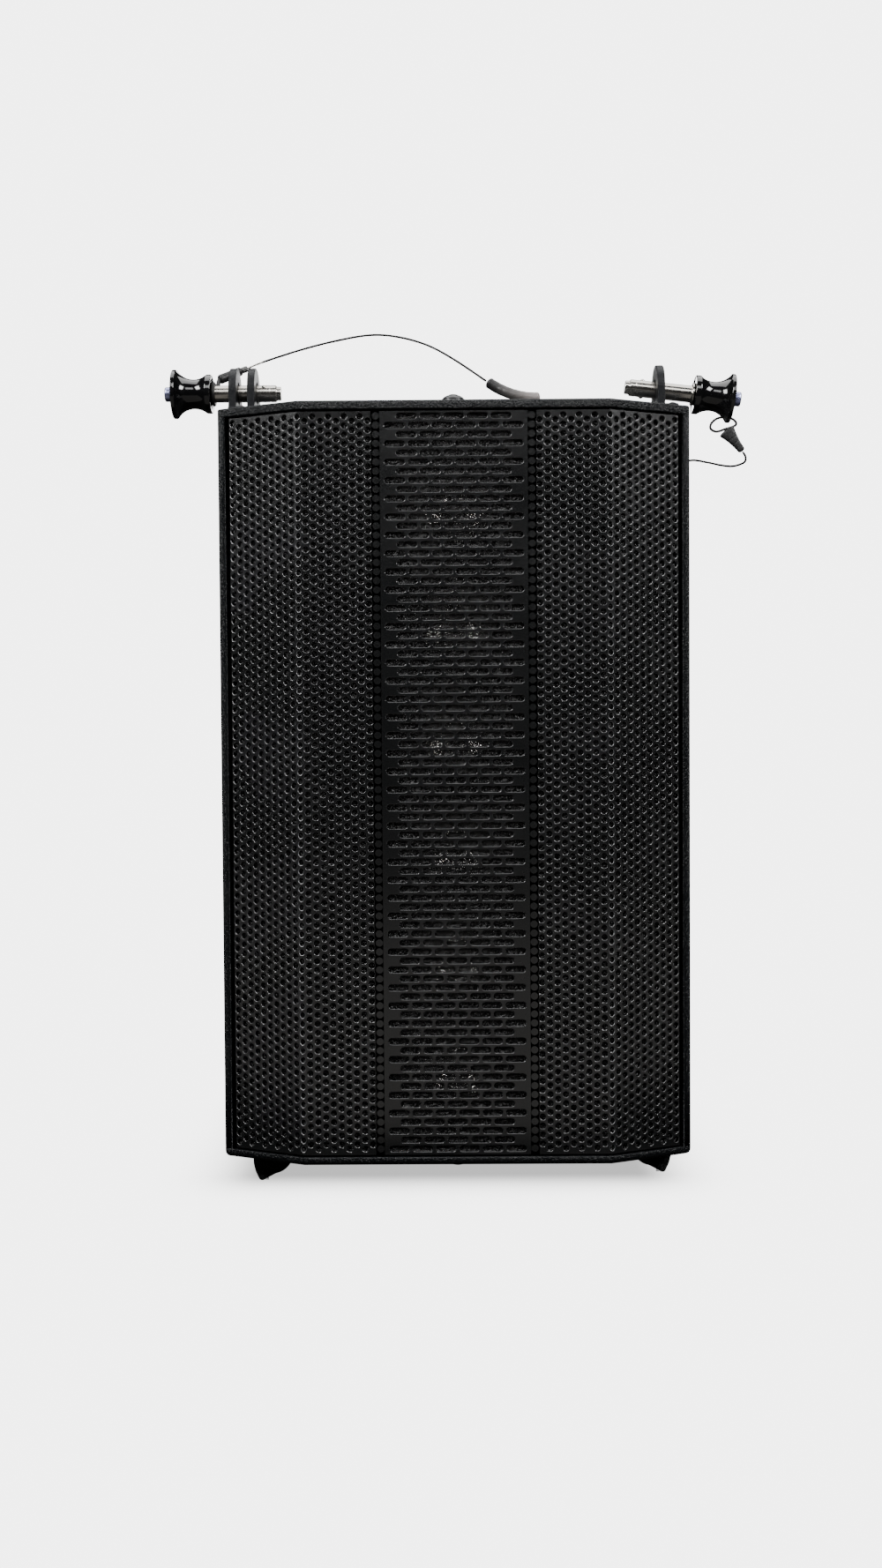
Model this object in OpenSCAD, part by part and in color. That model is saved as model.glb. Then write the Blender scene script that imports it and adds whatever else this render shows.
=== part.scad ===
// Column loudspeaker cabinet with a folded perforated grille, two woofer columns,
// a central column of mid-high drivers and quick-release rigging pins on lanyards.
// +X right, +Y rear, +Z up. The origin is on the ground, at the centre of the footprint box.

/* [Cabinet] */
// Height of the wooden cabinet, without feet and rigging
cabinet_h = 550; // [540:1:570]
// Depth from the flat front to the rear
cabinet_d = 236; // [220:1:260]
// Half of the flat front's width, from the centre to a fold
fold_half = 112; // [108:1:118]
// Half of the widest width, at the front corners
corner_half = 172.4; // [170:0.1:178]
// How far the front corners stand back from the flat front
corner_back = 27.5; // [24:0.5:31]
// Half of the rear's width
rear_half = 150; // [140:1:160]
// Thickness of the top and bottom panels
lid_t = 15; // [12:1:18]
// Thickness of the side and rear panels
wall_t = 12; // [9:1:15]
// Height of the feet
foot_h = 22; // [18:1:28]

/* [Grille] */
// Width of the lip that frames the grille
lip_w = 6.3; // [4:0.1:8]
// Gap between the lip and the grille
grille_gap = 1.5; // [1:0.1:3]
// Distance from the lip's face back to the grille's face
grille_inset = 1.2; // [0.5:0.1:3]
// Thickness of the grille sheet
grille_t = 1.5; // [1:0.1:2]
// Depth of the grille's folded-back edges
grille_return = 8; // [6:0.5:9]
// Thickness of the acoustic foam behind the grille
foam_t = 3; // [2:0.5:4]

/* [Drivers] */
// Number of mid-high drivers in the centre column
mid_count = 6; // [4:1:6]
// Pitch of the mid-high drivers
mid_pitch = 81; // [80:1:84]
// Flange radius of a mid-high driver
mid_r = 38; // [34:1:39]
// Number of woofers in each side column
woofer_count = 4; // [2:1:4]
// Pitch of the woofers
woofer_pitch = 130; // [112:1:131]
// Flange radius of a woofer
woofer_r = 54; // [50:1:54]
// Angle of the woofer baffles
woofer_turn = 18; // [16:0.5:20]

/* [Rigging] */
// Height of the pin axes above the cabinet's top
pin_rise = 18; // [17:0.5:24]
// Distance of the pins behind the flat front
pin_back = 60; // [50:1:80]
// Radius of a pin's shank
shank_r = 6.2; // [5.5:0.1:6.4]
// Radius of the holes in the ears
ear_hole_r = 8; // [7.9:0.1:8.4]
// Outer radius of an ear
ear_r = 18.5; // [17:0.5:20]
// Thickness of an ear
ear_t = 5.6; // [5:0.1:6]
// Tilt of the right-hand pin in its loose hole
pin_tilt = 6.5; // [0:0.5:7]
// Diameter of the lanyard wire
wire_d = 1.6; // [1.2:0.1:2]

/* [Hidden] */
$fn = 64;
front_y = -cabinet_d / 2;
rear_y = cabinet_d / 2;
base_z = foot_h;
top_z = foot_h + cabinet_h;
mid_z = foot_h + cabinet_h / 2;
corner_y = front_y + corner_back;

// Directions in plan, for the right-hand half
facet_run = [corner_half - fold_half, corner_back];
facet_dir = facet_run / norm(facet_run);
facet_in = [-facet_dir[1], facet_dir[0]];
side_run = [rear_half - corner_half, rear_y - corner_y];
side_dir = side_run / norm(side_run);
side_in = [-side_dir[1], side_dir[0]];
facet_turn = atan2(facet_dir[1], facet_dir[0]);

// Front baffles: the flat one sits behind the grille, the woofer ones turn away from it
baffle_t = 12;
baffle_y = front_y + 14;
baffle_half = 50;
baffle_dir = [cos(woofer_turn), sin(woofer_turn)];
baffle_in = [-baffle_dir[1], baffle_dir[0]];
baffle_start = [baffle_half, baffle_y + 1];
baffle_len = 112;
woofer_along = 57;
rebate_d = 12;

// Rigging pins, measured along the axis from the tip
pin_y = front_y + pin_back;
pin_z = top_z + pin_rise;
pin_end = 216;
ball_at = 12.8;
collar_at = 50.2;
handle_at = 52;
button_at = 81.2;
button_len = 6.2;
button_r = 5.4;
pin_len = button_at + button_len;
ball_r = 1.9;
ball_out = 1;
bore_r = 3.4;
collar_r = 8.3;
handle_len = button_at - handle_at;
flange_in_r = 14.3;
flange_out_r = 18;
waist_r = 10.8;
spindle_r = 2.2;
left_ear_x = [-163.4, -149.6];
right_ear_x = 153.8;
right_grip = (pin_end - right_ear_x - button_r * sin(pin_tilt)) / cos(pin_tilt);

// Lanyard routes, from the pin to the anchor on the cabinet
left_route = [[-157, -36, 614], [-146, -38, 618], [-115, -44, 626], [-88, -50, 631],
    [-62, -58, 633], [-41, -64, 630], [-19, -71, 622], [1, -78, 609.5], [24, -88, 591.5]];
left_sleeve_route = [[25, -88.3, 590.8], [33, -90, 585.5], [41, -93, 581.3], [48, -95, 578.8],
    [55, -96, 577.4], [63, -97, 577]];
right_route = [[217.1, -58, 543.9], [219.5, -56, 540.5], [219, -52.5, 537], [212, -46, 535.4],
    [204, -40, 537.2], [195, -32, 540.8], [185, -18, 545], [178, 10, 546], [172, 45, 536],
    [166, 75, 510], [162, 92, 478]];
right_sleeve_route = [[161.8, 92.5, 477], [160, 97, 465], [158, 99, 453], [156.6, 100, 445]];
loop_route = [[202, -58, 569.8], [205.6, -58, 569.4], [209.2, -58, 568.6], [212, -58, 566],
    [211, -58, 563.4], [204, -58, 561.1], [197.4, -58, 559.2], [193, -58, 561.4],
    [193.6, -58, 565.4], [197.6, -58, 568.8]];

// Rear hardware
handle_z = 470;
handle_w = 130;
handle_h = 50;
handle_deep = 34;
plate_z = 120;
plate_w = 110;
plate_h = 62;
socket_r = 12;
socket_len = 20;
insert_span = 120;
insert_r = 3.4;
insert_len = 14;
fly_y = front_y + 13;
fly_r = 3.5;
bracket_screw_len = 9;

left_anchor = [72, -97];
side_anchor_y = 100;
side_anchor_z = 440;

foot_len = 50;
foot_front = [[-147.3, front_y + 41], [156, front_y + 58]];
foot_rear = [[-126, 55], [126, 55]];

// ---------- plan outlines ----------

// Where the line through p along d meets the line through q along e
function meet(p, d, q, e) =
    p + d * ((q - p)[0] * e[1] - (q - p)[1] * e[0]) / (d[0] * e[1] - d[1] * e[0]);

function facet_point(f) = [fold_half, front_y] + facet_in * f;
function side_point(s) = [corner_half, corner_y] + side_in * s;

// Right-hand half of the plan, set in by f at the front, s at the sides and r at the rear
function plan_half(f, s, r) = [
    meet([0, front_y + f], [1, 0], facet_point(f), facet_dir),
    meet(facet_point(f), facet_dir, side_point(s), side_dir),
    meet(side_point(s), side_dir, [0, rear_y - r], [1, 0])];

function mirrored(points) =
    concat(points, [for (i = [len(points) - 1:-1:0]) [-points[i][0], points[i][1]]]);

module plan(f, s, r) { polygon(mirrored(plan_half(f, s, r))); }

// The band between two depths behind the folded front, ending w in from each front corner
module front_band(f0, f1, w) {
    a = [for (f = [f0, f1]) meet([0, front_y + f], [1, 0], facet_point(f), facet_dir)];
    c = [for (f = [f0, f1]) [corner_half, corner_y] - facet_dir * w + facet_in * f];
    polygon(mirrored([a[0], c[0], c[1], a[1]]));
}

module slab(z, h) { translate([0, 0, z]) linear_extrude(h) children(); }

// ---------- placing ----------

module at_mids() {
    for (i = [0:mid_count - 1])
        translate([0, baffle_y, mid_z + (i - (mid_count - 1) / 2) * mid_pitch])
            rotate([90, 0, 0]) children();
}

// A column of woofers, side = -1 left or 1 right, with local +Z pointing outwards
module at_woofers(side) {
    c = baffle_start + baffle_dir * woofer_along;
    for (i = [0:woofer_count - 1])
        translate([side * c[0], c[1], mid_z + (i - (woofer_count - 1) / 2) * woofer_pitch])
            rotate([0, 0, side * woofer_turn]) rotate([90, 0, 0]) children();
}

// Local +X runs along the pin from its tip to its button
module at_pin_left() {
    translate([-pin_end + pin_len, pin_y, pin_z]) rotate([0, 0, 180]) children();
}
module at_pin_right() {
    translate([right_ear_x, pin_y, pin_z]) rotate([0, pin_tilt, 0])
        translate([right_grip - pin_len, 0, 0]) children();
}
module along_x() { rotate([0, 90, 0]) children(); }

// On the right side panel's face, with local +Z pointing outwards
module at_side_anchor() {
    x = meet([corner_half, corner_y], side_dir, [0, side_anchor_y], [1, 0])[0];
    translate([x, side_anchor_y, side_anchor_z])
        rotate([0, 0, atan2(-side_in[1], -side_in[0])]) along_x() children();
}

// ---------- swept wires ----------

// Catmull-Rom curve through the route, n steps between points
function pick(p, i) = p[max(0, min(len(p) - 1, i))];
function curve_at(a, b, c, d, t) =
    (2 * b + (c - a) * t + (2 * a - 5 * b + 4 * c - d) * t * t
        + (3 * b - a - 3 * c + d) * t * t * t) / 2;
function curve(p, n) = concat(
    [for (i = [0:len(p) - 2], k = [0:n - 1])
        curve_at(pick(p, i - 1), p[i], p[i + 1], pick(p, i + 2), k / n)],
    [p[len(p) - 1]]);
function closed_curve(p, n) = [for (i = [0:len(p) - 1], k = [0:n - 1])
    curve_at(p[(i + len(p) - 1) % len(p)], p[i], p[(i + 1) % len(p)], p[(i + 2) % len(p)], k / n)];
function unit(v) = v / norm(v);
function tangent(p, i) = unit(pick(p, i + 1) - pick(p, i - 1));

// A normal at each point, carried from the one before it so that the tube does not twist
function carried(v, t) = unit(v - t * (v * t));
function normals(p, first) = [for (i = 0, v = carried(first, tangent(p, 0)); i < len(p);
    i = i + 1, v = i < len(p) ? carried(v, tangent(p, i)) : v) v];

// Tube of radius r along open points, with flat ends
module tube(p, r, sides, first) {
    n = normals(p, first);
    rings = [for (i = [0:len(p) - 1], k = [0:sides - 1])
        p[i] + r * (n[i] * cos(360 * k / sides)
            + cross(tangent(p, i), n[i]) * sin(360 * k / sides))];
    last = (len(p) - 1) * sides;
    walls = [for (i = [0:len(p) - 2], k = [0:sides - 1])
        let (a = i * sides + k, b = i * sides + (k + 1) % sides)
            each [[a, b + sides, b], [a, a + sides, b + sides]]];
    ends = [[for (k = [0:sides - 1]) k], [for (k = [sides - 1:-1:0]) last + k]];
    polyhedron(rings, concat(walls, ends), convexity = 6);
}

// Closed loop of wire of radius r lying in an X-Z plane
module wire_loop(p, r, sides) {
    m = len(p);
    rings = [for (i = [0:m - 1])
        let (t = unit(p[(i + 1) % m] - p[(i + m - 1) % m]), v = [0, 1, 0], w = cross(t, v))
            for (k = [0:sides - 1])
                p[i] + r * (v * cos(360 * k / sides) + w * sin(360 * k / sides))];
    polyhedron(rings, [for (i = [0:m - 1], k = [0:sides - 1])
        let (j = (i + 1) % m, l = (k + 1) % sides)
            each [[i * sides + k, j * sides + k, j * sides + l],
                [i * sides + k, j * sides + l, i * sides + l]]], convexity = 6);
}

// ---------- fasteners ----------

// Screw along local -Z, its head standing on z = 0
module screw(head_r, head_h, r, length) {
    translate([0, 0, -length]) cylinder(r = r, h = length);
    cylinder(r1 = head_r, r2 = head_r * 0.75, h = head_h);
}

module at_driver_screws(r) {
    for (a = [45:90:315]) rotate([0, 0, a]) translate([r, 0, 0]) children();
}
module mid_screws() { at_driver_screws(mid_r * 0.92) translate([0, 0, 3]) screw(2.2, 1.4, 1.2, 11); }
module woofer_screws() {
    at_driver_screws(woofer_r * 0.935) translate([0, 0, 4]) screw(2.6, 1.6, 1.5, 13);
}

module at_bracket_screws(side) {
    x = side < 0 ? [-157, -138] : [143, 162];
    for (i = [0, 1], y = [pin_y - 17, pin_y + 17]) translate([x[i], y, top_z + 4]) children();
}
module at_foot_screws() {
    for (f = concat(foot_front, foot_rear), y = [12, foot_len - 12])
        translate([f[0] - sign(f[0]) * 12, f[1] + y, base_z]) children();
}
module at_fly_points() {
    translate([0, fly_y, top_z]) children();
    translate([0, fly_y, base_z]) rotate([180, 0, 0]) children();
}
module at_rear_screws() {
    for (sx = [-1, 1], sz = [-1, 1]) {
        translate([sx * (plate_w / 2 - 5), rear_y - 1.5, plate_z + sz * (plate_h / 2 - 5)])
            rotate([-90, 0, 0]) children();
        translate([sx * (handle_w / 2 + 6), rear_y - 1.5, handle_z + sz * (handle_h / 2 + 4)])
            rotate([-90, 0, 0]) children();
    }
}
module rear_screw() { screw(3, 1.4, 1.5, 10); }
module at_inserts() {
    for (sx = [-1, 1], sz = [-1, 1])
        translate([sx * insert_span / 2, rear_y, mid_z + sz * insert_span / 2])
            rotate([90, 0, 0]) children();
}

// ---------- cabinet ----------

module cabinet_top() {
    color("#1b1c1e") difference() {
        union() {
            slab(top_z - lip_w, lip_w) plan(0, 0, 0);
            slab(top_z - lid_t, lid_t - lip_w) plan(rebate_d, wall_t, 0);
        }
        for (side = [-1, 1]) at_bracket_screws(side) screw(4, 3, 2, bracket_screw_len);
        at_fly_points() cylinder(r = fly_r, h = 80, center = true);
        translate([left_anchor[0], left_anchor[1], top_z - 9]) cylinder(r = 2, h = 10);
    }
}

module cabinet_bottom() {
    color("#1b1c1e") difference() {
        union() {
            slab(base_z, lip_w) plan(0, 0, 0);
            slab(base_z + lip_w, lid_t - lip_w) plan(rebate_d, wall_t, 0);
        }
        at_foot_screws() translate([0, 0, -1]) cylinder(r = 2, h = 13);
        at_fly_points() cylinder(r = fly_r, h = 80, center = true);
    }
}

// Side panel: a lip beside the grille, a rebate behind it, then the wall
module side_panel() {
    corner = [corner_half, corner_y];
    lip_end = corner - facet_dir * lip_w;
    step = lip_end + facet_in * rebate_d;
    wall_start = meet(step, facet_dir, side_point(wall_t), side_dir);
    wall_end = meet(side_point(wall_t), side_dir, [0, rear_y - wall_t], [1, 0]);
    outer_end = meet(corner, side_dir, [0, rear_y - wall_t], [1, 0]);
    slab(base_z + lip_w, cabinet_h - 2 * lip_w)
        polygon([corner, lip_end, step, wall_start, wall_end, outer_end]);
}
module cabinet_side_left() { color("#1b1c1e") mirror([1, 0, 0]) side_panel(); }
module cabinet_side_right() {
    color("#1b1c1e") difference() {
        side_panel();
        at_side_anchor() cylinder(r = 2, h = 40, center = true);
    }
}

module rear_solid() {
    slab(base_z + lip_w, cabinet_h - 2 * lip_w) intersection() {
        plan(0, 0, 0);
        translate([-200, rear_y - wall_t]) square([400, wall_t]);
    }
}

module cabinet_rear() {
    color("#1b1c1e") difference() {
        rear_solid();
        for (z = [base_z + lip_w, top_z - lid_t])
            slab(z, lid_t - lip_w) plan(rebate_d, wall_t, -1);
        translate([0, rear_y, handle_z]) cube([handle_w + 24, 5, handle_h + 18], center = true);
        translate([0, rear_y, handle_z]) cube([handle_w, 60, handle_h], center = true);
        translate([0, rear_y, plate_z]) cube([plate_w, 5, plate_h], center = true);
        translate([0, rear_y, plate_z]) cube([plate_w - 20, 60, plate_h - 20], center = true);
        at_rear_screws() rear_screw();
        at_inserts() translate([0, 0, -1]) cylinder(r = 6, h = insert_len + 1);
    }
}

module centre_baffle() {
    color("#26241f") difference() {
        translate([-baffle_half, baffle_y, base_z + lid_t])
            cube([2 * baffle_half, baffle_t, cabinet_h - 2 * lid_t]);
        at_mids() cylinder(r = mid_r * 0.88, h = 60, center = true);
        at_mids() mid_screws();
    }
}

module woofer_baffle(side) {
    s = baffle_start;
    e = s + baffle_dir * baffle_len;
    difference() {
        mirror([side < 0 ? 1 : 0, 0, 0]) difference() {
            slab(base_z + lid_t, cabinet_h - 2 * lid_t) intersection() {
                polygon([s, e, e + baffle_in * baffle_t, s + baffle_in * baffle_t]);
                plan(rebate_d, wall_t, wall_t);
            }
            translate([0, baffle_y, 0]) cube([baffle_half, baffle_t, 700]);
        }
        at_woofers(side) cylinder(r = woofer_r * 0.89, h = 60, center = true);
        at_woofers(side) woofer_screws();
    }
}
module woofer_baffle_left() { color("#26241f") woofer_baffle(-1); }
module woofer_baffle_right() { color("#26241f") woofer_baffle(1); }

// Two shelves that tie the sides together behind the drivers
module brace_shelves() {
    color("#9a7b4f") for (z = [mid_z - 96, mid_z + 84])
        slab(z, wall_t) difference() {
            intersection() {
                plan(110, wall_t, wall_t);
                translate([-200, 20]) square([400, 200]);
            }
            translate([0, 62]) circle(r = 28);
            for (x = [-80, 80]) translate([x, 62]) circle(r = 22);
        }
}

// ---------- grille ----------

grille_z0 = base_z + lip_w + grille_gap;
grille_h = cabinet_h - 2 * (lip_w + grille_gap);

module grille() {
    w = lip_w + grille_gap;
    back = grille_inset + grille_t;
    color("#17181a") {
        slab(grille_z0, grille_h) front_band(grille_inset, back, w);
        for (z = [grille_z0, grille_z0 + grille_h - grille_t])
            slab(z, grille_t) front_band(back - 0.2, grille_inset + grille_return, w);
        slab(grille_z0, grille_h) difference() {
            front_band(back - 0.2, grille_inset + grille_return, w);
            front_band(back - 1, grille_inset + grille_return + 1, w + grille_t);
        }
    }
}

module grille_foam() {
    w = lip_w + grille_gap + grille_t + 0.3;
    back = grille_inset + grille_t + 0.1;
    color("#101011") slab(grille_z0 + grille_t + 0.3, grille_h - 2 * grille_t - 0.6)
        front_band(back, back + foam_t, w);
}

module damping_foam() {
    color("#55565a") difference() {
        translate([-120, rear_y - wall_t - 24, mid_z - 78]) cube([240, 24, 156]);
        at_inserts() cylinder(r = 10, h = 60);
    }
}

module crossover_board() {
    color("#2d5a3d") translate([-70, rear_y - wall_t - 32, base_z + lid_t]) cube([140, 1.6, 55]);
}
module crossover_components() {
    y = rear_y - wall_t - 32;
    z = base_z + lid_t + 30;
    color("#b3703a") for (x = [-45, 0, 45])
        translate([x, y, z]) rotate([90, 0, 0]) difference() {
            cylinder(r = 17, h = 14);
            translate([0, 0, -1]) cylinder(r = 8, h = 16);
        }
}

// ---------- rear and top hardware ----------

module connector_plate() {
    color("#232427") difference() {
        translate([0, rear_y - 1.25, plate_z]) cube([plate_w, 2.5, plate_h], center = true);
        for (x = [-22, 22])
            translate([x, rear_y, plate_z]) rotate([90, 0, 0]) cylinder(r = 15, h = 20, center = true);
        at_rear_screws() translate([0, 0, -5]) cylinder(r = 3, h = 12);
    }
}

module connector_sockets() {
    color("#1c1f2b") for (x = [-22, 22])
        translate([x, rear_y, plate_z]) rotate([90, 0, 0]) difference() {
            cylinder(r = 15, h = socket_len + 2);
            translate([0, 0, -1]) cylinder(r = socket_r, h = socket_len + 1);
        }
}

module rear_handle() {
    color("#1f2022") {
        difference() {
            union() {
                translate([0, rear_y - 1.25, handle_z])
                    cube([handle_w + 24, 2.5, handle_h + 18], center = true);
                translate([0, rear_y - handle_deep / 2, handle_z])
                    cube([handle_w - 0.6, handle_deep, handle_h - 0.6], center = true);
            }
            translate([0, rear_y - handle_deep / 2 + 3, handle_z])
                cube([handle_w - 6.6, handle_deep, handle_h - 6.6], center = true);
            at_rear_screws() translate([0, 0, -5]) cylinder(r = 3, h = 12);
        }
        translate([0, rear_y - 9, handle_z + handle_h / 2 - 11])
            along_x() cylinder(r = 8, h = handle_w - 4, center = true);
    }
}

module rear_screws() {
    color("#3a3b3e") at_rear_screws() rear_screw();
}

module mounting_inserts() {
    color("#8f8a80") at_inserts() difference() {
        cylinder(r = 6, h = insert_len);
        translate([0, 0, -1]) cylinder(r = insert_r, h = insert_len + 2);
    }
}

// Domed screws that close the centre fly points
module flying_screws() {
    color("#2b2c2e") at_fly_points() {
        translate([0, 0, -14]) cylinder(r = fly_r, h = 14.2);
        intersection() {
            translate([0, 0, -3.4]) sphere(r = 9.2);
            cylinder(r = 9, h = 8);
        }
    }
}

// Upright ear with a round top and a hole for a pin, facing along X
module ear(x) {
    translate([x, pin_y, pin_z]) difference() {
        union() {
            along_x() cylinder(r = ear_r, h = ear_t, center = true);
            translate([-ear_t / 2, -ear_r, -pin_rise]) cube([ear_t, 2 * ear_r, pin_rise]);
        }
        along_x() cylinder(r = ear_hole_r, h = 40, center = true);
        translate([-ear_t, -ear_r, -pin_rise - 10]) cube([2 * ear_t, 2 * ear_r, 10]);
    }
}

module bracket_base(x0, x1) {
    translate([x0, pin_y - 23, top_z]) cube([x1 - x0, 46, 4]);
}

module rig_bracket_left() {
    color("#15161a") difference() {
        union() {
            bracket_base(-166.2, -130);
            for (x = left_ear_x) ear(x);
        }
        at_bracket_screws(-1) translate([0, 0, -6]) cylinder(r = 2, h = 10);
    }
}
module rig_bracket_right() {
    color("#15161a") difference() {
        union() {
            bracket_base(137, 166);
            ear(right_ear_x);
        }
        at_bracket_screws(1) translate([0, 0, -6]) cylinder(r = 2, h = 10);
    }
}

module bracket_and_foot_screws() {
    color("#3a3b3e") {
        for (side = [-1, 1]) at_bracket_screws(side) screw(3.4, 1.8, 2, bracket_screw_len);
        at_foot_screws() cylinder(r = 2, h = 11);
    }
}

// Wedge foot with a steep outer face and a hollowed inner flank; the tip is at x = 0
module foot_profile() {
    polygon(concat(
        [[-6.2, foot_h], [-6, 13], [-4.6, 7], [-1.6, 0.6], [-0.8, 0], [1.2, 0], [5, 2.2]],
        [for (a = [0:15:60]) [8, 21] + [sin(a + 10), -cos(a + 10)] * 16],
        [[28, foot_h]]));
}
module foot(at) {
    translate([at[0], at[1], 0]) mirror([at[0] > 0 ? 1 : 0, 0, 0])
        translate([0, foot_len, 0]) rotate([90, 0, 0]) linear_extrude(foot_len) foot_profile();
}
module foot_front_left() { color("#1a1b1d") foot(foot_front[0]); }
module foot_front_right() { color("#1a1b1d") foot(foot_front[1]); }
module feet_rear() { color("#1a1b1d") for (f = foot_rear) foot(f); }

// ---------- drivers, local +Z outwards, sized on a flange radius r ----------

module basket(r, flange) {
    rotate_extrude() polygon([[r * 0.86, 0], [r * 0.86, flange], [r, flange], [r, 0],
        [r * 0.87, 0], [r * 0.6, -r * 0.55], [r * 0.6, -r * 0.6], [r * 0.3, -r * 0.6],
        [r * 0.3, -r * 0.56], [r * 0.54, -r * 0.56], [r * 0.82, -0.02 * r]]);
}

// Ring magnet with a centre pole and an open gap for the voice coil
module magnet(r) {
    rotate_extrude() polygon([[0, -r * 0.44], [r * 0.185, -r * 0.44], [r * 0.185, -r * 0.85],
        [r * 0.3, -r * 0.85], [r * 0.3, -r * 0.6], [r * 0.62, -r * 0.6], [r * 0.62, -r * 0.95],
        [0, -r * 0.95]]);
}

module surround(r, flange) {
    rotate_extrude() difference() {
        translate([r * 0.8, flange * 0.45]) circle(r = r * 0.053);
        translate([0, -50 + flange * 0.3]) square([200, 50]);
    }
}

module cone(r) {
    rotate_extrude() polygon([[r * 0.735, 0.5], [r * 0.735, 1.6], [r * 0.6, -r * 0.1],
        [r * 0.4, -r * 0.22], [r * 0.26, -r * 0.29], [r * 0.2, -r * 0.29],
        [r * 0.2, -r * 0.33], [r * 0.26, -r * 0.33], [r * 0.4, -r * 0.25],
        [r * 0.6, -r * 0.13]]);
}

module dust_cap(r) {
    translate([0, 0, -r * 0.27]) intersection() {
        difference() {
            translate([0, 0, -r * 0.35]) sphere(r = r * 0.45);
            translate([0, 0, -r * 0.35]) sphere(r = r * 0.43);
        }
        translate([0, 0, -r * 0.01]) cylinder(r = r * 0.27, h = r * 0.2);
    }
}

module coil(r) {
    translate([0, 0, -r * 0.75]) difference() {
        cylinder(r = r * 0.25, h = r * 0.42);
        translate([0, 0, -1]) cylinder(r = r * 0.225, h = r * 0.6);
    }
}

module mid_baskets() {
    color("#2a2b2e") difference() {
        at_mids() basket(mid_r, 3);
        at_mids() mid_screws();
    }
}
module mid_magnets() { color("#4a4b50") at_mids() magnet(mid_r); }
module mid_surrounds() { color("#141414") at_mids() surround(mid_r, 3); }
module mid_cones() { color("#232326") at_mids() cone(mid_r); }
module mid_dust_caps() { color("#b9bcc4") at_mids() dust_cap(mid_r); }
module mid_coils() { color("#b3703a") at_mids() coil(mid_r); }

module woofer_baskets() {
    color("#2a2b2e") for (side = [-1, 1]) difference() {
        at_woofers(side) basket(woofer_r, 4);
        at_woofers(side) woofer_screws();
    }
}
module woofer_magnets() { color("#4a4b50") for (side = [-1, 1]) at_woofers(side) magnet(woofer_r); }
module woofer_surrounds() {
    color("#141414") for (side = [-1, 1]) at_woofers(side) surround(woofer_r, 4);
}
module woofer_cones_left() { color("#232326") at_woofers(-1) cone(woofer_r); }
module woofer_caps_left() { color("#2c2c30") at_woofers(-1) dust_cap(woofer_r); }
module woofer_coils_left() { color("#b3703a") at_woofers(-1) coil(woofer_r); }
module woofer_cones_right() { color("#232326") at_woofers(1) cone(woofer_r); }
module woofer_caps_right() { color("#2c2c30") at_woofers(1) dust_cap(woofer_r); }
module woofer_coils_right() { color("#b3703a") at_woofers(1) coil(woofer_r); }

module driver_screws() {
    color("#3a3b3e") {
        at_mids() mid_screws();
        for (side = [-1, 1]) at_woofers(side) woofer_screws();
    }
}

// ---------- quick-release pins, local +X from tip to button ----------

// The balls' pockets point along local directions given as angles about the axis
module pin_shank(ball_angles) {
    difference() {
        union() {
            along_x() cylinder(r1 = 4.8, r2 = shank_r, h = 2.5);
            translate([2.5, 0, 0]) along_x() cylinder(r = shank_r, h = button_at - 8.5);
            translate([collar_at, 0, 0]) along_x() cylinder(r = collar_r, h = handle_at - collar_at);
        }
        translate([4, 0, 0]) along_x() cylinder(r = bore_r, h = pin_len);
        for (a = ball_angles) translate([ball_at, 0, 0]) rotate([a, 0, 0])
            cylinder(r = ball_r + 0.1, h = 10);
    }
}

// Spool-shaped finger grip, pressed on the shank, with a wire hole in its outer flange
module pin_handle(hole_angle) {
    difference() {
        translate([handle_at, 0, 0]) along_x() rotate_extrude() difference() {
            polygon([[0, 0], [flange_in_r, 0], [flange_in_r, 3], [flange_out_r, handle_len - 4],
                [flange_out_r, handle_len], [0, handle_len]]);
            translate([waist_r + 15, handle_len / 2 - 1]) circle(r = 15);
            square([shank_r, handle_len - 6]);
            translate([0, handle_len - 7]) square([button_r + 0.4, 10]);
        }
        rotate([hole_angle, 0, 0]) translate([button_at - 5, 0, 14.6]) along_x()
            cylinder(r = 2, h = 8);
    }
}

module pin_button() {
    translate([button_at - 2, 0, 0]) along_x() cylinder(r = button_r, h = button_len + 1.2);
    translate([button_at + button_len - 0.8, 0, 0]) along_x()
        cylinder(r1 = button_r, r2 = button_r - 0.8, h = 0.8);
    translate([ball_at - 3, 0, 0]) along_x() cylinder(r = spindle_r, h = button_at - ball_at + 2);
    translate([ball_at - 0.5, 0, 0]) along_x() cylinder(r = bore_r - 0.25, h = 1);
    translate([button_at - 16, 0, 0]) along_x() cylinder(r = bore_r - 0.08, h = 4);
}

module pin_ball(angle) {
    translate([ball_at, 0, 0]) rotate([angle, 0, 0])
        translate([0, 0, shank_r - ball_r + ball_out]) sphere(r = ball_r);
}

// On the left pin the balls face front and up, and rear and down; on the right, up and down
left_ball = 46;
right_ball = 8;

module pin_left_shank() { color("#a9a6a0") at_pin_left() pin_shank([-left_ball, 180 - left_ball]); }
module pin_left_handle() { color("#0d0d0f") at_pin_left() pin_handle(180); }
module pin_left_button() { color("#7d7fb0") at_pin_left() pin_button(); }
module pin_left_ball_front() { color("#c8c8cc") at_pin_left() pin_ball(-left_ball); }
module pin_left_ball_rear() { color("#c8c8cc") at_pin_left() pin_ball(180 - left_ball); }

module pin_right_shank() { color("#a9a6a0") at_pin_right() pin_shank([right_ball, 180 + right_ball]); }
module pin_right_handle() { color("#0d0d0f") at_pin_right() pin_handle(180); }
module pin_right_button() { color("#7d7fb0") at_pin_right() pin_button(); }
module pin_right_ball_top() { color("#c8c8cc") at_pin_right() pin_ball(right_ball); }
module pin_right_ball_bottom() { color("#c8c8cc") at_pin_right() pin_ball(180 + right_ball); }

// ---------- lanyards ----------

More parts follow.
